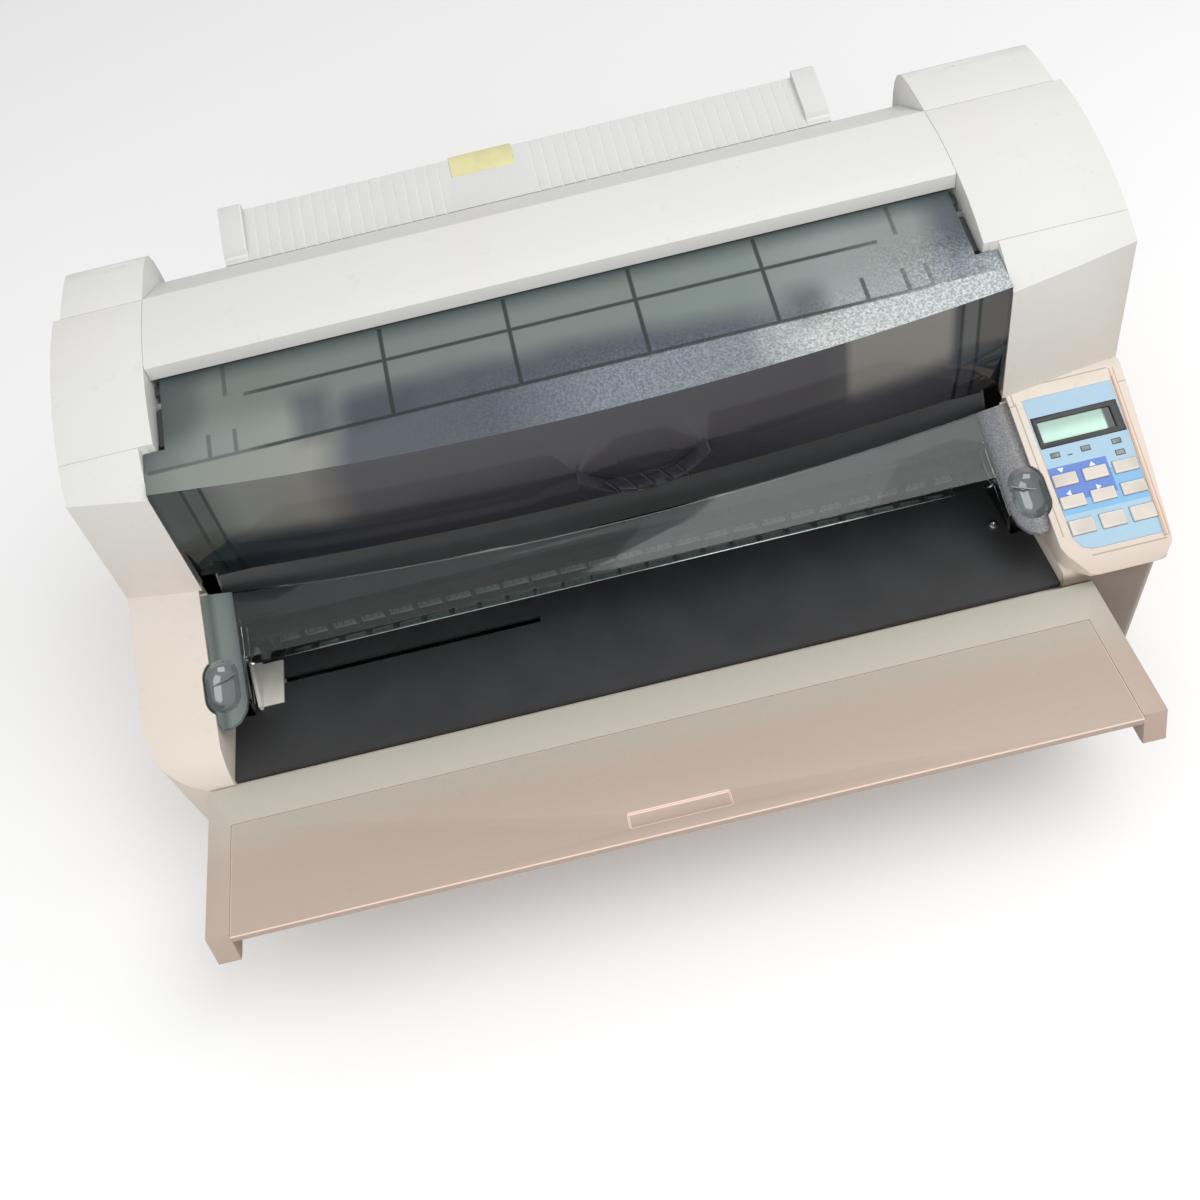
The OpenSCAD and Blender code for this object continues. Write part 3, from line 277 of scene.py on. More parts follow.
# ---------------------------------------------------------------- materials
ABS_IOR, SMOKED_IOR, FILM_IOR = 1.46, 1.49, 1.5


def opaque(colour):
    """A colour of three numbers with its fourth, for sockets that want one."""
    return (*colour, 1.0)


def start_material(name, **values):
    """A new material, its node tree and its shader, with the shader's sockets filled in by name."""
    m = bpy.data.materials.new(name)
    m.use_nodes = True
    t = m.node_tree
    p = next(n for n in t.nodes if n.type == "BSDF_PRINCIPLED")
    for k, v in values.items():
        p.inputs[k.replace("_", " ")].default_value = v
    return m, t, p


def place_group(tree, group, **values):
    """Puts a node group into a tree, with its sockets filled in by name."""
    n = tree.nodes.new("ShaderNodeGroup")
    n.node_tree = group
    for k, v in values.items():
        n.inputs[k.replace("_", " ")].default_value = opaque(v) if isinstance(v, tuple) else v
    return n


def grain_into(tree, shader, size, height, roughness, swing, swirl=18.0, where=None):
    """Gives a shader the mould's grain, of a height in metres, and a gloss that swings about its roughness.
    A mask can keep the grain to a part of the surface."""
    g = place_group(tree, grain_group, Grain_Size=size, Swirl_Size=swirl)
    b = node(tree, "ShaderNodeBump", Strength=1.0, Distance=height)
    rise = g.outputs["Height"] if where is None else math_node(tree, "MULTIPLY", g.outputs["Height"], where)
    tree.links.new(rise, b.inputs["Height"])
    tree.links.new(b.outputs["Normal"], shader.inputs["Normal"])
    gloss = ramp(tree, g.outputs["Gloss"], -1.0, 1.0, roughness - swing, roughness + swing)
    tree.links.new(gloss, shader.inputs["Roughness"])


def down_slope(tree, co):
    """Distance in mm down the plane of the keys from its top edge, for a shading point."""
    dot = node(tree, "ShaderNodeVectorMath", operation="DOT_PRODUCT")
    dot.inputs[1].default_value = (0.0, -math.cos(SLOPE) * 1000, -math.sin(SLOPE) * 1000)
    tree.links.new(co, dot.inputs[0])
    corner = place(0, FOOT_Y, FOOT_Z)
    start = (math.cos(SLOPE) * corner.y + math.sin(SLOPE) * corner.z) * 1000
    return math_node(tree, "ADD", dot.outputs["Value"], start)


# seams of the key panel: from x, to x, from and to a distance down its slope
PANEL_SEAMS = (
    (252.0, 315.5, 2.2, 2.9), (251.6, 252.3, 2.5, 14.0), (244.0, 253.5, 13.4, 14.0),
    (318.5, 324.5, 13.4, 14.0), (252.6, 253.3, 12.0, 104.0), (266.0, 313.0, 118.6, 119.3),
)
ROSY_LINES = ((316.4, 317.3, 3.0, 118.0), (319.0, 319.8, 3.0, 118.0))
ROSY_LEAN = 0.04


def painted_shade_under_panel(tree, co, x, y, z, base):
    """Painted shade: the case wall below the key panel is browner and darker than the rest, where the panel overhangs
    it.
    """
    under = math_node(tree, "MULTIPLY", ramp(tree, x, 236.0, 246.0), ramp(tree, y, -119.0, -123.0))
    under = math_node(tree, "MULTIPLY", under, ramp(tree, z, 104.0, 96.0))
    return mix_colour(tree, math_node(tree, "MULTIPLY", under, 0.95), base, (0.20, 0.155, 0.12))


def panel_lines(tree, co, x, y, z, base):
    """Fine seams round the printed label, with two rosy ones along its right side."""
    v = down_slope(tree, co)
    leaning = math_node(tree, "ADD", x, math_node(tree, "MULTIPLY", v, ROSY_LEAN))
    seams = any_of(tree, [box_mask(tree, x, v, *r, soft=0.25) for r in PANEL_SEAMS])
    rosy = any_of(tree, [box_mask(tree, leaning, v, *r, soft=0.3) for r in ROSY_LINES])
    base = mix_colour(tree, math_node(tree, "MULTIPLY", seams, 0.75), base, (0.30, 0.24, 0.19))
    return mix_colour(tree, math_node(tree, "MULTIPLY", rosy, 0.8), base, (0.62, 0.33, 0.22))


def aged_plastic(name, fresh, aged, low, high, dust=0.25, roughness=0.5, detail=None):
    """Case plastic that yellows between two heights in metres. A detail adds its own marks to the colour."""
    m, t, p = start_material(name, IOR=ABS_IOR)
    base = place_group(t, aged_group, Fresh=fresh, Aged=aged, Low=low, High=high, Dust_Amount=dust).outputs["Color"]
    if detail:
        base = detail(t, *object_axes(t), base)
    t.links.new(base, p.inputs["Base Color"])
    grain_into(t, p, size=1400.0, height=0.00006, roughness=roughness, swing=0.05)
    return m


def clouded(tree, colour, scale):
    """A colour with soft darker clouds."""
    co = tree.nodes.new("ShaderNodeTexCoord").outputs["Object"]
    dark = tuple(c * 0.82 for c in colour)
    return mix_colour(tree, ramp(tree, noise(tree, co, scale), 0.35, 0.65), dark, colour)


def plain_plastic(name, colour, roughness):
    """A small moulded part's plastic."""
    m, t, p = start_material(name)
    t.links.new(clouded(t, colour, 35.0), p.inputs["Base Color"])
    grain_into(t, p, size=1500.0, height=0.00004, roughness=roughness, swing=0.05)
    return m


def brushed_metal(name, colour, roughness, along=(1.0, 40.0, 40.0)):
    """Metal with fine strokes along X, unless told otherwise."""
    m, t, p = start_material(name, Metallic=1.0)
    co = t.nodes.new("ShaderNodeTexCoord").outputs["Object"]
    n = noise(t, co, 30.0, 4.0, 0.6, stretch=along)
    t.links.new(ramp(t, n, 0.3, 0.7, roughness - 0.08, roughness + 0.1), p.inputs["Roughness"])
    t.links.new(mix_colour(t, n, tuple(c * 0.85 for c in colour), colour), p.inputs["Base Color"])
    b = node(t, "ShaderNodeBump", Strength=0.25, Distance=0.00005)
    t.links.new(n, b.inputs["Height"])
    t.links.new(b.outputs["Normal"], p.inputs["Normal"])
    return m


def table_plastic_fade(name, back, front, dust=0.35):
    """The table's plastic, greyer where it meets the case and rosier towards its front edge."""
    m, t, p = start_material(name, IOR=ABS_IOR)
    _, _, y, _ = object_axes(t)
    a = place_group(t, aged_group, Fresh=front, Aged=front, Low=0.05, High=0.2, Dust_Amount=dust)
    near = ramp(t, y, -190.0, -135.0, kind="SMOOTHSTEP")
    tone = mix_colour(t, near, (1.0, 1.0, 1.0), tuple(b / f for b, f in zip(back, front)))
    t.links.new(mix_colour(t, 1.0, a.outputs["Color"], tone, "MULTIPLY"), p.inputs["Base Color"])
    grain_into(t, p, size=1400.0, height=0.00006, roughness=0.42, swing=0.05)
    return m


table_plastic = table_plastic_fade("table_plastic", (0.53, 0.50, 0.43), (0.50, 0.395, 0.33))
# a lighter copy of the table plastic for its rounded edges: a painted highlight
table_edge_highlight = table_plastic_fade("table_edge_highlight", (0.66, 0.62, 0.54), (0.88, 0.66, 0.56), dust=0.1)
# the case plastic carries the painted shade on the wall under the key panel
case_plastic = aged_plastic(
    "case_plastic", (0.74, 0.74, 0.715), (0.74, 0.66, 0.58), 0.10, 0.25, detail=painted_shade_under_panel)
# a lighter copy of the case plastic for its rounded edges: a painted highlight
case_edge_highlight = aged_plastic(
    "case_edge_highlight", (0.86, 0.855, 0.82), (0.84, 0.75, 0.66), 0.10, 0.25, dust=0.1, roughness=0.42)
console_plastic = aged_plastic(
    "console_plastic", (0.76, 0.69, 0.60), (0.70, 0.60, 0.52), 0.09, 0.15, dust=0.5, detail=panel_lines)
# a lighter copy of the key panel plastic for its rounded edges: a painted highlight
console_edge_highlight = aged_plastic(
    "console_edge_highlight", (0.88, 0.81, 0.71), (0.84, 0.70, 0.60), 0.09, 0.15, dust=0.1, roughness=0.42)
guide_plastic = aged_plastic("guide_plastic", (0.69, 0.69, 0.68), (0.64, 0.62, 0.59), 0.05, 0.25, dust=0.3)
# a lighter copy of the guide plastic for its rounded edges: a painted highlight
guide_edge_highlight = aged_plastic("guide_edge_highlight", (0.80, 0.80, 0.79), (0.76, 0.74, 0.71), 0.05, 0.25, dust=0.1)
tab_plastic = plain_plastic("tab_plastic", (0.76, 0.71, 0.38), 0.45)
white_plastic = plain_plastic("white_plastic", (0.74, 0.72, 0.66), 0.4)
dark_plastic = plain_plastic("dark_plastic", (0.035, 0.036, 0.038), 0.42)
key_plastic = plain_plastic("key_plastic", (0.70, 0.64, 0.57), 0.38)
# a lighter copy of the key plastic for their rounded edges: a painted highlight
key_edge = plain_plastic("key_edge", (0.84, 0.79, 0.72), 0.34)
rubber_dark = plain_plastic("rubber_dark", (0.03, 0.03, 0.032), 0.7)
motor_black = plain_plastic("motor_black", (0.03, 0.03, 0.033), 0.35)
strip_green = plain_plastic("strip_green", (0.50, 0.58, 0.48), 0.45)
lamp_plastic = plain_plastic("lamp_plastic", (0.30, 0.33, 0.33), 0.3)
sheet_steel = brushed_metal("sheet_steel", (0.62, 0.62, 0.60), 0.38)
black_steel = brushed_metal("black_steel", (0.09, 0.09, 0.095), 0.45)
ground_steel = brushed_metal("ground_steel", (0.72, 0.73, 0.75), 0.2)
head_alloy = brushed_metal("head_alloy", (0.32, 0.33, 0.35), 0.4)
brass_gear = brushed_metal("brass_gear", (0.72, 0.55, 0.27), 0.3)
bright_zinc = brushed_metal("bright_zinc", (0.80, 0.80, 0.78), 0.25, along=(8.0, 8.0, 8.0))


def bands(tree, value, stops):
    """Blends the tones of (place in mm, colour) stops along one coordinate."""
    lo, hi = stops[0][0], stops[-1][0]
    n = tree.nodes.new("ShaderNodeValToRGB")
    marks = n.color_ramp.elements
    for at, tone in stops[1:-1]:
        marks.new((at - lo) / (hi - lo)).color = opaque(tone)
    marks[0].color, marks[len(marks) - 1].color = opaque(stops[0][1]), opaque(stops[-1][1])
    tree.links.new(ramp(tree, value, lo, hi), n.inputs["Fac"])
    return n.outputs["Color"]


def cover_ribs():
    """Where the ribs under the cover's top plate run, as rectangles of x0, x1, y0, y1."""
    half = 256.5
    full_depth = [(CX + share * half, 6, 66) for share in (-0.427, -0.1245, 0.18, 0.486)]
    at_back = [(CX + side * 208, 46, 66) for side in (-1, 1)]
    at_front = [(CX + x, 6, 22) for x in (-220.8, -204.8, 178.8, 203.8, 217.8)]
    across = [(CX - 196.5, CX + 195.5, 43, 45), (CX - COVER_WIDE + 2, CX + 217.8, 5, 7)]
    return across + [(x - 1, x + 1, y0, y1) for x, y0, y1 in full_depth + at_back + at_front]


def sparkle_over(tree, co, base, amount, scale=620.0, low=0.66, high=1.5):
    """Light catching the coarse grain: a fine light and dark speckle over a tone."""
    s = ramp(tree, noise(tree, co, scale, 2.0, 0.7), 0.38, 0.66, low, high)
    c = tree.nodes.new("ShaderNodeCombineColor")
    for socket in c.inputs:
        tree.links.new(s, socket)
    return mix_colour(tree, amount, base, mix_colour(tree, 1.0, base, c.outputs[0], "MULTIPLY"))


def smoked_top_material():
    """Smoked plastic with painted light and shade: milky where light comes through from below, dark over ribs and deep
    spaces, and shaded along its back edge under the centre cover's lip.
    """
    m, t, p = start_material("smoked_top", IOR=SMOKED_IOR, Transmission_Weight=0.3, Specular_IOR_Level=0.35)
    co, x, y, _ = object_axes(t)
    drift = ramp(t, noise(t, co, 11.0, 3.0, 0.5), 0.3, 0.7, -6.0, 6.0)
    xx = math_node(t, "ADD", x, drift)
    yy = math_node(t, "ADD", y, drift)
    upper = bands(t, xx, [
        (-275, (0.09, 0.12, 0.115)), (-250, (0.13, 0.165, 0.155)), (-238, (0.23, 0.275, 0.25)),
        (-100, (0.235, 0.285, 0.265)), (100, (0.27, 0.33, 0.305)), (150, (0.36, 0.41, 0.40)),
        (205, (0.34, 0.39, 0.375)), (222, (0.15, 0.175, 0.20)), (245, (0.12, 0.14, 0.165)),
    ])
    lower = bands(t, xx, [
        (-275, (0.14, 0.18, 0.165)), (-240, (0.32, 0.37, 0.35)), (-188, (0.36, 0.41, 0.38)),
        (-145, (0.11, 0.13, 0.155)), (-100, (0.10, 0.12, 0.145)), (90, (0.105, 0.13, 0.16)),
        (120, (0.17, 0.195, 0.23)), (145, (0.38, 0.43, 0.43)), (205, (0.44, 0.50, 0.50)),
        (222, (0.30, 0.34, 0.39)), (245, (0.48, 0.53, 0.56)),
    ])
    strip = bands(t, xx, [
        (-275, (0.22, 0.26, 0.24)), (-255, (0.33, 0.38, 0.34)), (-175, (0.40, 0.41, 0.36)),
        (-150, (0.13, 0.15, 0.175)), (-70, (0.12, 0.14, 0.17)), (0, (0.24, 0.275, 0.32)),
        (90, (0.27, 0.31, 0.35)), (130, (0.62, 0.67, 0.66)), (245, (0.68, 0.73, 0.74)),
    ])
    base = mix_colour(t, ramp(t, yy, 13.0, 34.0, kind="SMOOTHSTEP"), lower, upper)
    base = mix_colour(t, ramp(t, y, 5.5, 6.5, 1.0, 0.0), base, strip)
    # painted shade along the back edge, under the centre cover's lip
    base = mix_colour(t, ramp(t, y, 52.0, 69.0, 0.0, 0.85, kind="SMOOTHSTEP"), base, (0.075, 0.10, 0.105))
    # painted shade: darker patches over deep spaces seen through the cover
    painted_hollow_shade = any_of(t, [box_mask(t, x, yy, *r, soft=6.0) for r in (
        (-184, -162, 2, 34), (-154, -108, 4, 24), (118, 140, 6, 28))])
    base = mix_colour(t, math_node(t, "MULTIPLY", painted_hollow_shade, 0.6), base, (0.07, 0.08, 0.105))
    right_end = math_node(t, "MULTIPLY", ramp(t, xx, 150.0, 215.0), ramp(t, yy, 30.0, 50.0, 1.0, 0.0))
    front_strip = math_node(t, "MULTIPLY", ramp(t, xx, -150.0, 20.0, 0.0, 0.9), ramp(t, yy, 6.0, 24.0, 1.0, 0.0))
    grainy = math_node(t, "MAXIMUM", right_end, front_strip)
    base = sparkle_over(t, co, base, grainy)
    ribs = any_of(t, [
        box_mask(t, x, y, x0 - 0.3, x1 + 0.3, y0 - 0.2, y1 + 0.2, soft=0.4) for x0, x1, y0, y1 in cover_ribs()])
    faint = math_node(t, "MAXIMUM", ramp(t, x, -200.0, -215.0, 0.0, 0.4), ramp(t, x, 150.0, 205.0, 0.0, 0.45))
    deep = math_node(t, "MULTIPLY", ribs, math_node(t, "SUBTRACT", 0.88, faint))
    base = mix_colour(t, deep, base, (0.022, 0.032, 0.034))
    t.links.new(base, p.inputs["Base Color"])
    coarse = ramp(t, grainy, 0.0, 1.0, 0.15, 1.0)
    grain_into(t, p, size=760.0, height=0.00022, roughness=0.3, swing=0.05, swirl=9.0, where=coarse)
    return m


def smoked_face_material():
    """The cover's glossy front, with painted light where pale parts behind it show through: a pale haze high at the
    left, a pale panel at the right, the rest near black.
    """
    m, t, p = start_material("smoked_face", IOR=SMOKED_IOR, Transmission_Weight=0.25, Specular_IOR_Level=0.3)
    co, x, _, z = object_axes(t)
    drift = ramp(t, noise(t, co, 6.0, 2.0, 0.5), 0.3, 0.7, -6.0, 6.0)
    zz = math_node(t, "ADD", z, drift)
    # painted light: pale parts behind the face, seen through it
    high = bands(t, x, [
        (-276, (0.03, 0.045, 0.04)), (-271, (0.11, 0.13, 0.115)), (-259, (0.095, 0.115, 0.10)),
        (-254, (0.14, 0.17, 0.155)), (-247, (0.12, 0.145, 0.135)), (-243, (0.19, 0.21, 0.195)),
        (-185, (0.205, 0.205, 0.185)), (-158, (0.085, 0.088, 0.10)), (125, (0.065, 0.066, 0.075)),
        (141, (0.08, 0.082, 0.085)), (146, (0.235, 0.235, 0.215)), (207, (0.25, 0.25, 0.225)),
        (212, (0.05, 0.053, 0.062)), (217, (0.11, 0.115, 0.115)), (224, (0.11, 0.115, 0.115)),
        (228, (0.10, 0.10, 0.095)), (243, (0.095, 0.09, 0.085)), (247, (0.02, 0.02, 0.022)),
    ])
    low = bands(t, x, [
        (-276, (0.012, 0.02, 0.02)), (-262, (0.03, 0.042, 0.038)), (-250, (0.022, 0.034, 0.034)),
        (-240, (0.024, 0.03, 0.04)), (-150, (0.04, 0.041, 0.053)), (80, (0.045, 0.045, 0.057)),
        (150, (0.07, 0.07, 0.085)), (212, (0.06, 0.06, 0.075)), (235, (0.035, 0.034, 0.035)),
        (247, (0.012, 0.012, 0.014)),
    ])
    base = mix_colour(t, ramp(t, zz, 184.0, 206.0, kind="SMOOTHSTEP"), low, high)
    base = mix_colour(t, ramp(t, x, -225.0, -250.0, 0.0, 0.5), base, (0.012, 0.02, 0.022))
    rib_x = [CX + s * (COVER_WIDE - a) for s in (-1, 1) for a in (20.0, 31.0)]
    ribs = any_of(t, [box_mask(t, x, z, r - 1.2, r + 1.2, 150, 236, soft=0.5) for r in rib_x])
    base = mix_colour(t, math_node(t, "MULTIPLY", ribs, 0.85), base, (0.008, 0.013, 0.014))
    t.links.new(base, p.inputs["Base Color"])
    grain_into(t, p, size=90.0, height=0.000004, roughness=0.09, swing=0.02)
    return m


def smoked_arm_material():
    """The side strips of the lower cover: greenish and smooth at the left, grey and sparkling at the right."""
    m, t, p = start_material("smoked_arm", IOR=SMOKED_IOR, Transmission_Weight=0.2, Specular_IOR_Level=0.4)
    co, x, _, _ = object_axes(t)
    tone = bands(t, x, [
        (-279.5, (0.02, 0.03, 0.028)), (-277, (0.20, 0.25, 0.23)), (-274, (0.09, 0.12, 0.11)),
        (-269, (0.21, 0.26, 0.24)), (-262, (0.19, 0.225, 0.215)), (-257, (0.10, 0.12, 0.13)),
        (227, (0.10, 0.10, 0.12)), (233, (0.20, 0.205, 0.225)), (239, (0.23, 0.235, 0.25)),
        (243, (0.32, 0.32, 0.31)), (246.5, (0.16, 0.16, 0.17)), (249.5, (0.02, 0.02, 0.02)),
    ])
    right = ramp(t, x, -100.0, 200.0)
    t.links.new(sparkle_over(t, co, tone, right, scale=900.0, low=0.72, high=1.3), p.inputs["Base Color"])
    coarse = ramp(t, right, 0.0, 1.0, 0.1, 1.0)
    grain_into(t, p, size=760.0, height=0.0002, roughness=0.24, swing=0.04, where=coarse)
    return m


def smoked_plain(name, tint, roughness, clear, size, height, shine=0.4, lacquer=0.0):
    """Smoked plastic of one tint. clear is the part of the light that goes through it."""
    m, t, p = start_material(
        name, IOR=SMOKED_IOR, Transmission_Weight=clear, Specular_IOR_Level=shine,
        Coat_Weight=lacquer, Coat_IOR=1.7)
    t.links.new(clouded(t, tint, 9.0), p.inputs["Base Color"])
    grain_into(t, p, size, height, roughness, swing=0.03)
    return m


smoked_top = smoked_top_material()
smoked_face = smoked_face_material()
smoked_arm = smoked_arm_material()
smoked_ear = smoked_plain("smoked_ear", (0.075, 0.085, 0.095), 0.3, 0.2, 900.0, 0.00006)
smoked_rib = smoked_plain("smoked_rib", (0.03, 0.036, 0.036), 0.25, 0.2, 900.0, 0.00004)
smoked_web = smoked_plain("smoked_web", (0.42, 0.47, 0.48), 0.04, 1.0, 90.0, 0.000002, shine=0.5)
smoked_bowl = smoked_plain(
    "smoked_bowl", (0.17, 0.195, 0.195), 0.1, 0.3, 90.0, 0.000004, shine=0.7, lacquer=1.0)
# a paler smoked tint for the lower cover's rounded edges: a painted highlight
smoked_edge_highlight = smoked_plain("smoked_edge_highlight", (0.34, 0.38, 0.40), 0.2, 0.2, 900.0, 0.00002, shine=0.6)
bracket_clear = smoked_plain("bracket_clear", (0.72, 0.76, 0.72), 0.3, 0.5, 900.0, 0.00004)


# the label's print: rectangles from x, to x, from and to a distance down the slope
LABEL_MID = ((294.6, 330, 67.6, 91.4), (240, 330, 82.8, 91.4))
LABEL_DEEP = (240, 294.9, 59.4, 83.0)
LABEL_DASH = (273.0, 276.0, 52.9, 53.7)
LABEL_ARROWS = ((265.7, 62.0, "down"), (285.3, 62.2, "up"), (265.3, 77.6, "left"), (284.5, 77.7, "right"))
# the dark line round each lamp: its middle, and half its size
LABEL_LAMPS = ((265.6, 51.6), (285.0, 51.6), (304.8, 51.6), (304.6, 59.3))
LAMP_HALF = (3.1, 1.9)


def arrow_mask(tree, x, v, at_x, at_v, way):
    """1 inside a small plain triangle that points one way on the label."""
    upright = way in ("down", "up")
    along, across = (v, x) if upright else (x, v)
    middle, side = (at_v, at_x) if upright else (at_x, at_v)
    sign = 1.0 if way in ("down", "right") else -1.0
    a = math_node(tree, "MULTIPLY", math_node(tree, "SUBTRACT", along, middle), sign)
    b = math_node(tree, "ABSOLUTE", math_node(tree, "SUBTRACT", across, side))
    room = math_node(tree, "SUBTRACT", math_node(tree, "SUBTRACT", 1.5, a), math_node(tree, "MULTIPLY", b, 1.5))
    return math_node(tree, "MULTIPLY", ramp(tree, room, -0.12, 0.12), ramp(tree, a, -1.62, -1.38))


def label_material():
    """The printed film of the key panel: three blues and plain arrows, with a dark line round each lamp."""
    m, t, p = start_material("label_film", IOR=FILM_IOR, Specular_IOR_Level=0.4)
    co, x, _, _ = object_axes(t)
    v = down_slope(t, co)
    grain = ramp(t, noise(t, co, 220.0, 2.0), 0.3, 0.7, 0.0, 0.10)
    base = mix_colour(t, grain, (0.37, 0.55, 0.69), (0.49, 0.64, 0.75))
    base = mix_colour(t, any_of(t, [box_mask(t, x, v, *r) for r in LABEL_MID]), base, (0.21, 0.46, 0.72))
    base = mix_colour(t, box_mask(t, x, v, *LABEL_DEEP), base, (0.11, 0.22, 0.60))
    base = mix_colour(t, any_of(t, [arrow_mask(t, x, v, *a) for a in LABEL_ARROWS]), base, (0.86, 0.90, 0.95))
    half_x, half_v = LAMP_HALF
    rims = [(a - half_x, a + half_x, b - half_v, b + half_v) for a, b in LABEL_LAMPS]
    dark = any_of(t, [box_mask(t, x, v, *r) for r in [LABEL_DASH] + rims])
    t.links.new(mix_colour(t, dark, base, (0.05, 0.055, 0.06)), p.inputs["Base Color"])
    grain_into(t, p, size=900.0, height=0.00001, roughness=0.3, swing=0.05)
    return m


def display_material():
    """Pale green liquid crystal, with the dark band of its unused right end and a soft shade along the top."""
    m, t, p = start_material("lcd_glass", IOR=FILM_IOR)
    co, x, _, z = object_axes(t)
    band = ramp(t, x, 302.4, 304.2, kind="SMOOTHSTEP")
    shade = ramp(t, z, 141.2, 143.6, 0.0, 0.6)
    base = mix_colour(t, ramp(t, noise(t, co, 60.0), 0.3, 0.7), (0.50, 0.78, 0.66), (0.58, 0.84, 0.73))
    base = mix_colour(t, shade, base, (0.22, 0.33, 0.30))
    t.links.new(mix_colour(t, band, base, (0.05, 0.06, 0.062)), p.inputs["Base Color"])
    grain_into(t, p, size=300.0, height=0.000002, roughness=0.08, swing=0.02)
    return m


def board_material():
    """Green circuit board with paler tracks."""
    m, t, p = start_material("board_tracks", IOR=FILM_IOR)
    wave = node(t, "ShaderNodeTexWave", Scale=90.0, Distortion=6.0, Detail=2.0)
    t.links.new(t.nodes.new("ShaderNodeTexCoord").outputs["Object"], wave.inputs["Vector"])
    tracks = ramp(t, wave.outputs["Fac"], 0.55, 0.65)
    t.links.new(mix_colour(t, tracks, (0.02, 0.10, 0.045), (0.04, 0.19, 0.08)), p.inputs["Base Color"])
    grain_into(t, p, size=500.0, height=0.00002, roughness=0.3, swing=0.05)
    return m


label_film = label_material()
lcd_glass = display_material()
board_tracks = board_material()

materials = {
    "case_cream": case_plastic, "table_beige": table_plastic, "white_plastic": white_plastic,
    "pale_yellow": tab_plastic, "smoked_plastic": smoked_face, "dark_plastic": dark_plastic,
    "key_plastic": key_plastic, "rubber_dark": rubber_dark, "motor_black": motor_black,
    "board_green": board_tracks, "strip_green": strip_green, "sheet_steel": sheet_steel,
    "ground_steel": ground_steel, "head_alloy": head_alloy, "brass_gear": brass_gear,
    "label_film": label_film, "lcd_glass": lcd_glass,
}
slot_of = {s["node"]: s["material_slot"] for s in frame["record"]["subparts"]}


def coat(obj, *mats):
    """Gives a piece these materials and no others."""
    obj.data.materials.clear()
    for m in mats:
        obj.data.materials.append(m)


for name, obj in nodes.items():
    coat(obj, materials.get(slot_of[name], white_plastic))
for side in ("left", "right"):
    coat(nodes["side_frame_" + side], black_steel)


# ---------------------------------------------------------------- dressed pieces
def shade_smooth(mesh):
    """Smooth across shallow corners only."""
    mesh.polygons.foreach_set("use_smooth", [True] * len(mesh.polygons))
    mesh.set_sharp_from_angle(angle=SMOOTH_UNDER)


def settle(obj):
    """Turns the evaluated result into the piece's own mesh."""
    bpy.context.view_layer.update()
    dg = bpy.context.evaluated_depsgraph_get()
    done = bpy.data.meshes.new_from_object(obj.evaluated_get(dg))
    obj.modifiers.clear()
    obj.data = done
    shade_smooth(done)
    done.update()


def dress(name, width, mats=None, edge=None, segments=3):
    """A copy of a moulded piece with its corners rounded to a width in mm, which stands for the sharp solid.
    The rounded corners take the edge finish, if one is given: a lighter copy of the plastic, which paints a highlight
    along them."""
    mats = list(mats or [materials[slot_of[name]]])
    src = nodes[name]
    bm = bmesh.new()
    bm.from_mesh(src.data)
    bmesh.ops.remove_doubles(bm, verts=bm.verts, dist=2e-6)
    bmesh.ops.dissolve_limit(bm, angle_limit=math.radians(0.6), verts=bm.verts, edges=bm.edges)
    mesh = bpy.data.meshes.new(name + "_moulded")
    bm.to_mesh(mesh)
    bm.free()
    obj = bpy.data.objects.new(name + "_moulded", mesh)
    bpy.context.scene.collection.objects.link(obj)
    coat(obj, *mats, *([edge] if edge else []))
    if width > 0:
        b = obj.modifiers.new("round", "BEVEL")
        b.width = width * mm
        b.segments = segments
        b.limit_method = "ANGLE"
        b.angle_limit = ROUND_OVER
        b.use_clamp_overlap = True
        b.harden_normals = False
        b.miter_outer = "MITER_ARC"
        # the rounded faces take the lighter edge finish, a painted highlight
        if edge:
            b.material = len(mats)
    settle(obj)
    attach(obj, src["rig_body"])
    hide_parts(name)
    return obj


def cut_across(obj, *places):
    """Splits the faces at planes of constant x, in mm, so that each part can have its own finish."""
    bm = bmesh.new()
    bm.from_mesh(obj.data)
    for x in places:
        everything = bm.verts[:] + bm.edges[:] + bm.faces[:]
        bmesh.ops.bisect_plane(bm, geom=everything, plane_co=place(x, 0, 0), plane_no=(1, 0, 0))
    bm.to_mesh(obj.data)
    bm.free()


def by_place(obj, pick, keep=None):
    """Gives each face the material number that pick returns for its centre in mm and its normal."""
    for f in obj.data.polygons:
        if f.material_index == keep:
            continue
        c = f.center
        f.material_index = pick(c.x / mm, c.y / mm - FRAME_SHIFT, c.z / mm, f.normal)


for name in ("lower_case", "upper_case", "side_caps", "centre_cover"):
    dress(name, 1.0, edge=case_edge_highlight)
for name, width in (("table", 1.3), ("table_extension", 0.9)):
    dress(name, width, edge=table_edge_highlight)
for name, width in (("guide_tab", 0.5), ("edge_guide", 0.5), ("lcd_bezel", 0.3)):
    dress(name, width)
dress("key_housing", 0.8, mats=[console_plastic], edge=console_edge_highlight)
dress("rear_guide", 0.3, mats=[guide_plastic], edge=guide_edge_highlight)
dress("guide_caps", 0.8, mats=[guide_plastic], edge=guide_edge_highlight)
for k in range(1, KEY_COUNT + 1):
    dress("key_%d" % k, 0.3, edge=key_edge, segments=2)


def cover_part(x, y, z, normal):
    """Top plate 0, face and walls 1, ribs 2, hinge pins 3."""
    below_top = cover_top(y) - z
    if math.hypot(y - PIN_Y, z - PIN_Z) < PIN_BOSS and abs(x - CX) > COVER_NARROW:
        return 3
    if normal.z > 0.8 and below_top < PLATE_SKIN:
        return 0
    return 2 if RIB_TOP < below_top < RIB_FOOT and y > RIB_FRONT_Y else 1


front_cover = dress("front_cover", 0.5, mats=[smoked_top, smoked_face, smoked_rib, ground_steel], segments=2)
by_place(front_cover, cover_part)


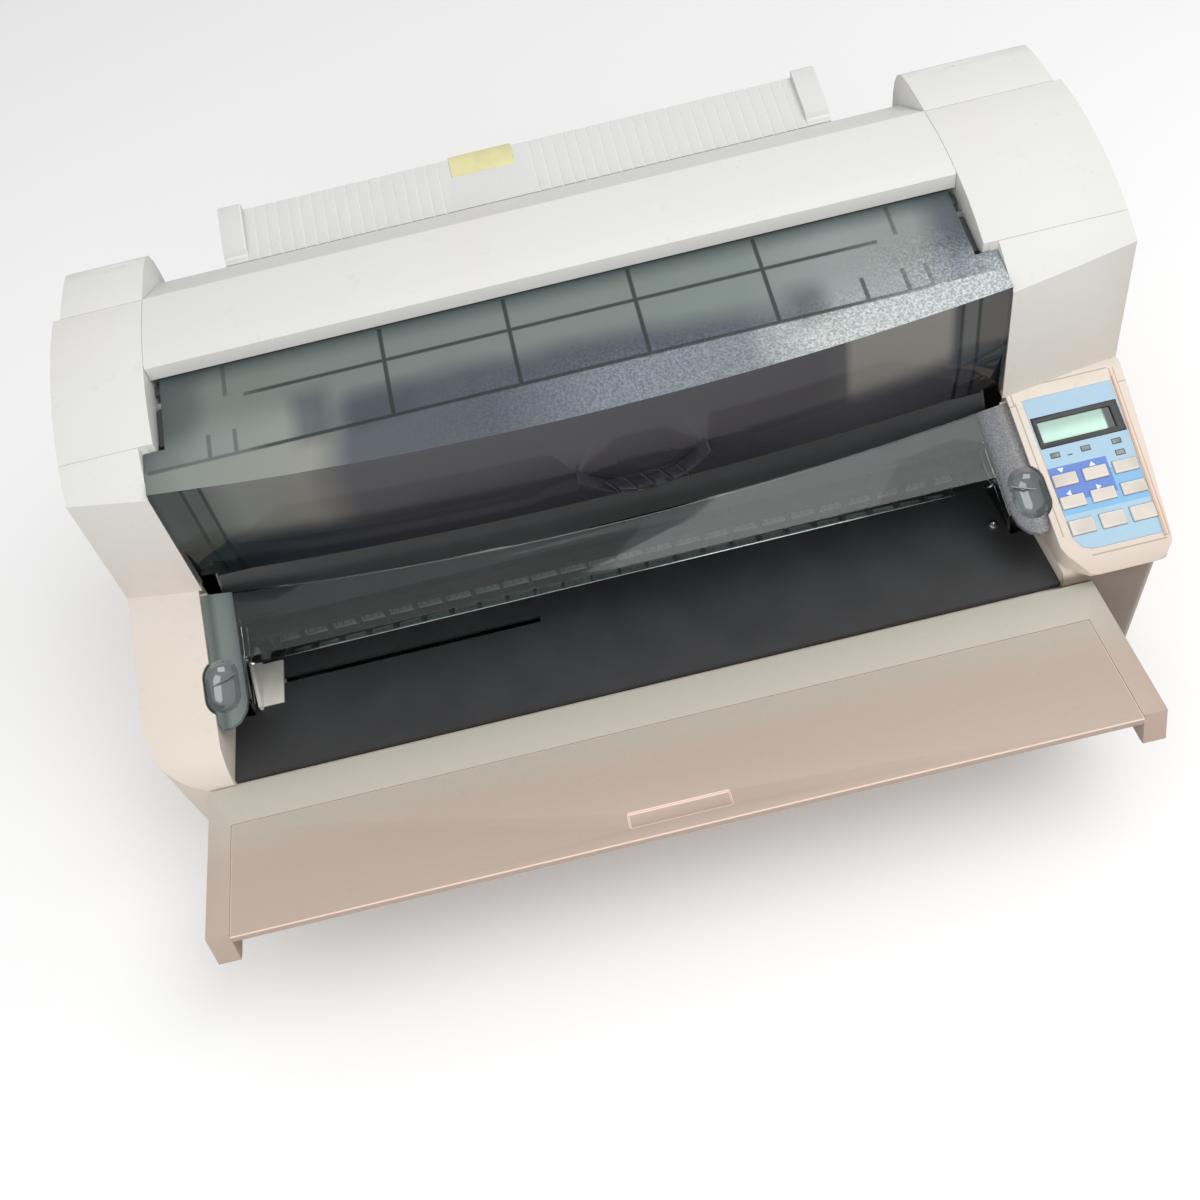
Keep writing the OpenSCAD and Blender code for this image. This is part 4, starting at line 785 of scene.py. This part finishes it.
def lower_part(x, y, z, normal):
    """Side arms 0, finger bowls 1, the clear web between the arms 2."""
    down = (FOOT_Y - y) * math.cos(SLOPE) + (FOOT_Z - z) * math.sin(SLOPE)
    past_straight = max(0.0, abs(down - BOWL_DOWN) - BOWL_STRAIGHT)
    in_bowl = math.hypot(abs(x - CX) - BOWL_X, past_straight) < BOWL_RADIUS
    if in_bowl and above_slope(y, z) < BOWL_RIM:
        return 1
    return 0 if abs(x - CX) > ARM_INNER else 2


lower_finishes = [smoked_arm, smoked_bowl, smoked_web]
lower_cover = dress("lower_cover", 0.5, mats=lower_finishes, edge=smoked_edge_highlight, segments=2)
cut_across(lower_cover, CX - ARM_INNER, CX + ARM_INNER)
by_place(lower_cover, lower_part, keep=len(lower_finishes))

# the lamps stand up from the board
lamps = dress("key_board", 0.0, mats=[board_tracks, lamp_plastic])
by_place(lamps, lambda x, y, z, normal: 1 if above_slope(y, z) > LAMP_FOOT else 0)


# ---------------------------------------------------------------- added pieces
def add_piece(name, mesh, mat, body):
    """An extra piece of one material, which rides on a body and shows with a slot."""
    obj = bpy.data.objects.new(name, mesh)
    bpy.context.scene.collection.objects.link(obj)
    coat(obj, mat)
    shade_smooth(mesh)
    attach(obj, body)


def finished_mesh(bm, name):
    """The mesh of what was being built."""
    mesh = bpy.data.meshes.new(name)
    bm.to_mesh(mesh)
    bm.free()
    return mesh


def round_edges(bm, width, segments=2):
    """Rounds every edge, by a width in mm."""
    bmesh.ops.bevel(bm, geom=bm.edges[:], offset=width * mm, segments=segments, profile=0.5, affect="EDGES")


def bar_mesh(name, size, bevel, segments=2):
    """A small bar centred on the origin, sizes in mm, with rounded corners."""
    bm = bmesh.new()
    bmesh.ops.create_cube(bm, size=1.0)
    bmesh.ops.scale(bm, vec=Vector(size) * mm, verts=bm.verts)
    if bevel:
        round_edges(bm, bevel, segments)
    return finished_mesh(bm, name)


# pan head: shares of the radius and of the height from the rim up to the edge of the recess
HEAD_PROFILE = ((1.0, 0.0), (1.0, 0.55), (0.93, 0.85), (0.78, 1.0), (0.42, 1.02))
HEAD_SIDES = 28
CROSS_ARM, CROSS_WAIST, CROSS_FLOOR = 0.36, 0.16, 0.35


def screw_mesh(name, radius, height):
    """A pan head screw seen from above, standing on the origin, with a cross recess."""
    bm = bmesh.new()
    angles = [2 * math.pi * k / HEAD_SIDES for k in range(HEAD_SIDES)]

    def ring(radii, h):
        return [bm.verts.new((r * mm * math.cos(a), r * mm * math.sin(a), h * mm)) for r, a in zip(radii, angles)]

    rings = [ring([radius * r] * HEAD_SIDES, height * h) for r, h in HEAD_PROFILE]
    cross = [radius * (CROSS_ARM if abs(math.cos(2 * a)) > 0.8 else CROSS_WAIST) for a in angles]
    rings.append(ring(cross, height * CROSS_FLOOR))
    for a, b in zip(rings, rings[1:]):
        for k in range(HEAD_SIDES):
            after = (k + 1) % HEAD_SIDES
            bm.faces.new((a[k], a[after], b[after], b[k]))
    bm.faces.new(rings[-1])
    bm.faces.new(rings[0][::-1])
    bmesh.ops.recalc_face_normals(bm, faces=bm.faces)
    return finished_mesh(bm, name)


def repeat(name, seed, points, mat, body, turn=(0.0, 0.0, 0.0)):
    """Copies of one small mesh at a list of points, made with geometry nodes and kept as one plain mesh."""
    seed_obj = bpy.data.objects.new(name + "_seed", seed)
    bpy.context.scene.collection.objects.link(seed_obj)
    cloud = bpy.data.meshes.new(name)
    cloud.from_pydata([tuple(p) for p in points], [], [])
    obj = bpy.data.objects.new(name, cloud)
    bpy.context.scene.collection.objects.link(obj)
    g = bpy.data.node_groups.new(name + "_rows", "GeometryNodeTree")
    ids = {}
    for label, kind in (("Geometry", "Geometry"), ("Seed Piece", "Object"), ("Turn", "Vector"), ("Finish", "Material")):
        socket = g.interface.new_socket(label, in_out="INPUT", socket_type="NodeSocket" + kind)
        ids[label] = socket.identifier
    g.interface.new_socket("Geometry", in_out="OUTPUT", socket_type="NodeSocketGeometry")
    gi, go = g.nodes.new("NodeGroupInput"), g.nodes.new("NodeGroupOutput")
    info = g.nodes.new("GeometryNodeObjectInfo")
    spread = g.nodes.new("GeometryNodeInstanceOnPoints")
    real = g.nodes.new("GeometryNodeRealizeInstances")
    paint = g.nodes.new("GeometryNodeSetMaterial")
    g.links.new(gi.outputs["Seed Piece"], info.inputs["Object"])
    g.links.new(gi.outputs["Geometry"], spread.inputs["Points"])
    g.links.new(info.outputs["Geometry"], spread.inputs["Instance"])
    g.links.new(gi.outputs["Turn"], spread.inputs["Rotation"])
    g.links.new(spread.outputs["Instances"], real.inputs["Geometry"])
    g.links.new(real.outputs["Geometry"], paint.inputs["Geometry"])
    g.links.new(gi.outputs["Finish"], paint.inputs["Material"])
    g.links.new(paint.outputs["Geometry"], go.inputs["Geometry"])
    mod = obj.modifiers.new("rows", "NODES")
    mod.node_group = g
    mod[ids["Seed Piece"]] = seed_obj
    mod[ids["Turn"]] = turn
    mod[ids["Finish"]] = mat
    settle(obj)
    bpy.data.objects.remove(seed_obj)
    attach(obj, body)


EAR_INNER, EAR_OUTER = 0.1, 4.4  # outwards from COVER_NARROW
EAR_THICK = 2.0
EAR_STEPS = ((25, 49.5, 3.4), (49.5, 60.5, 12.0), (60.5, 67, 3.4))  # from y, to y, how far below the top plate


def ears_mesh():
    """Dark steps of the smoked cover beside the end caps, lower where the hinge pins pass."""
    bm = bmesh.new()
    for side in (-1, 1):
        x0, x1 = sorted(CX + side * (COVER_NARROW + out) for out in (EAR_INNER, EAR_OUTER))
        for y0, y1, drop in EAR_STEPS:
            corners = ((x0, y0), (x1, y0), (x1, y1), (x0, y1))
            low = [bm.verts.new(place(x, y, cover_top(y) - drop - EAR_THICK)) for x, y in corners]
            high = [bm.verts.new(place(x, y, cover_top(y) - drop)) for x, y in corners]
            bm.faces.new(low[::-1])
            bm.faces.new(high)
            for k in range(4):
                after = (k + 1) % 4
                bm.faces.new((low[k], low[after], high[after], high[k]))
    round_edges(bm, 0.3)
    return finished_mesh(bm, "hinge_ears")


def move_mesh(mesh, where, *turns):
    """Turns a mesh about its own axes, the last turn first, and moves it to a place."""
    m = Matrix.Translation(where)
    for angle, axis in turns:
        m = m @ Matrix.Rotation(angle, 4, axis)
    mesh.transform(m)


add_piece("hinge_ears", ears_mesh(), smoked_ear, "front_cover")

# clear guide boxes under the smoked cover, near its ends
BRACKET_Y, BRACKET_DROP = 29.5, 6.6
for label, x in (("left", -234.5), ("right", 206.0)):
    bracket = bar_mesh("bracket_" + label, (21.0, 13.0, 7.0), 1.2, segments=3)
    move_mesh(bracket, place(x, BRACKET_Y, cover_top(BRACKET_Y) - BRACKET_DROP), (math.atan(COVER_FALL), "X"))
    add_piece("bracket_" + label, bracket, bracket_clear, "front_cover")

# ribs across the finger pull
PULL_Y, PULL_Z = -34.6, 178.6
repeat(
    "pull_ribs", bar_mesh("pull_rib", (0.9, 3.0, 13.0), 0.3), [place(x, PULL_Y, PULL_Z) for x in (-8, 3, 14, 25, 36)],
    smoked_rib, "front_cover", turn=(math.radians(-12), math.radians(-38), 0))

# cross rib in each finger bowl
CROSS_RIB_UP, CROSS_RIB_BACK, CROSS_RIB_TURN = -5.2, 5.0, 0.35
for label, side in (("left", -1), ("right", 1)):
    rib = bar_mesh("bowl_rib_" + label, (19.0, 1.0, 1.4), 0.3)
    middle = on_slope(CX + side * BOWL_X, BOWL_DOWN - CROSS_RIB_BACK, CROSS_RIB_UP)
    move_mesh(rib, middle, (SLOPE, "X"), (side * -CROSS_RIB_TURN, "Z"))
    add_piece("bowl_rib_" + label, rib, smoked_bowl, "lower_cover")

# ticks of the paper scale: fine raised lines, a fifth of an inch apart
TICK_PITCH, TICK_COUNT, TICK_START = 5.08, 93, -250
TICK_Y, TICK_Z = -16.5, 92.82
repeat(
    "scale_ticks", bar_mesh("scale_tick", (0.35, 4.0, 0.16), 0.0),
    [place(TICK_START + k * TICK_PITCH, TICK_Y, TICK_Z) for k in range(TICK_COUNT)],
    dark_plastic, "case")

# bright screws on the side frames, the rails and the rear panel
STEP_Z, RAIL_Y, RAIL_Z, BACK_Y = 92.0, 5, 156.0, 180.0
for label, size, points, turn in (
        ("frame", (3.0, 1.6), [place(x, y, STEP_Z) for x in (-258, 228) for y in (-26, -66)], (0.0, 0.0, 0.0)),
        ("rail", (2.6, 1.5), [place(x, RAIL_Y, RAIL_Z) for x in (-260, -90, 60, 230)], (0.0, 0.0, 0.0)),
        ("back", (3.2, 1.4), [place(x, BACK_Y, z) for x in (-310, -12, 310) for z in (22, 140)],
         (math.radians(-90), 0, 0))):
    repeat(label + "_screws", screw_mesh(label + "_screw", *size), points, bright_zinc, "case", turn)


# ---------------------------------------------------------------- stage
FLOOR_HALF = 6.0
FLOOR_SEEN, FLOOR_GIVEN = (0.99, 0.99, 0.99), (0.42, 0.36, 0.32)
SKY_LOW, SKY_HIGH = 0.50, 0.78


def add_area(name, where, aim, size, energy):
    """A rectangular lamp at a place in metres, which looks at another, with its power in watts."""
    light = bpy.data.lights.new(name, "AREA")
    light.shape = "RECTANGLE"
    light.size, light.size_y = size
    light.energy = energy
    o = bpy.data.objects.new(name, light)
    bpy.context.scene.collection.objects.link(o)
    o.location = where
    o.rotation_euler = (Vector(aim) - Vector(where)).to_track_quat("-Z", "Y").to_euler()


def add_floor():
    """A white sheet to the camera, which gives back only a dim warm light, so that undersides stay dark."""
    mesh = bpy.data.meshes.new("floor")
    s = FLOOR_HALF
    mesh.from_pydata([(-s, -s, 0), (s, -s, 0), (s, s, 0), (-s, s, 0)], [], [(0, 1, 2, 3)])
    o = bpy.data.objects.new("floor", mesh)
    bpy.context.scene.collection.objects.link(o)
    m, t, p = start_material("floor_paper", Roughness=0.9, Specular_IOR_Level=0.0)
    path = t.nodes.new("ShaderNodeLightPath")
    seen = math_node(t, "MAXIMUM", path.outputs["Is Camera Ray"], path.outputs["Is Transmission Ray"])
    seen = math_node(t, "MAXIMUM", seen, path.outputs["Is Glossy Ray"])
    t.links.new(mix_colour(t, seen, FLOOR_GIVEN, FLOOR_SEEN), p.inputs["Base Color"])
    mesh.materials.append(m)


def add_studio_world():
    """White to the camera. Its light on the object is stronger from above than from the sides."""
    world = bpy.data.worlds.new("studio")
    bpy.context.scene.world = world
    world.use_nodes = True
    t = world.node_tree
    bg = next(n for n in t.nodes if n.type == "BACKGROUND")
    bg.inputs["Color"].default_value = (1.0, 1.0, 1.0, 1.0)
    way = t.nodes.new("ShaderNodeSeparateXYZ")
    t.links.new(t.nodes.new("ShaderNodeTexCoord").outputs["Generated"], way.inputs[0])
    sky = ramp(t, way.outputs["Z"], 0.0, 1.0, SKY_LOW, SKY_HIGH)
    path = t.nodes.new("ShaderNodeLightPath")
    seen = math_node(t, "MAXIMUM", path.outputs["Is Camera Ray"], path.outputs["Is Transmission Ray"])
    to_white = math_node(t, "MULTIPLY", math_node(t, "SUBTRACT", 1.0, sky), seen)
    t.links.new(math_node(t, "ADD", sky, to_white), bg.inputs["Strength"])


add_floor()
add_studio_world()
add_area("key_light", (0.75, -0.35, 1.75), (0, 0, 0.1), (1.5, 1.2), 12.0)
add_area("front_fill", (-0.4, -1.75, 0.95), (0, -0.05, 0.1), (1.4, 1.0), 11.0)

camera = bpy.data.cameras.new("camera")
camera.sensor_width = 36.0
camera.lens = 34.5
camera.clip_start, camera.clip_end = 0.01, 50.0
cam = bpy.data.objects.new("camera", camera)
bpy.context.scene.collection.objects.link(cam)
cam.matrix_world = Matrix((
    (0.97237, 0.23343, 0.002427, -0.0301),
    (-0.18250, 0.76659, -0.615657, -0.5172 + FRAME_SHIFT * mm),
    (-0.14557, 0.59820, 0.788011, 0.6898),
    (0, 0, 0, 1),
))
bpy.context.scene.camera = cam
bpy.context.scene.view_settings.view_transform = "Standard"
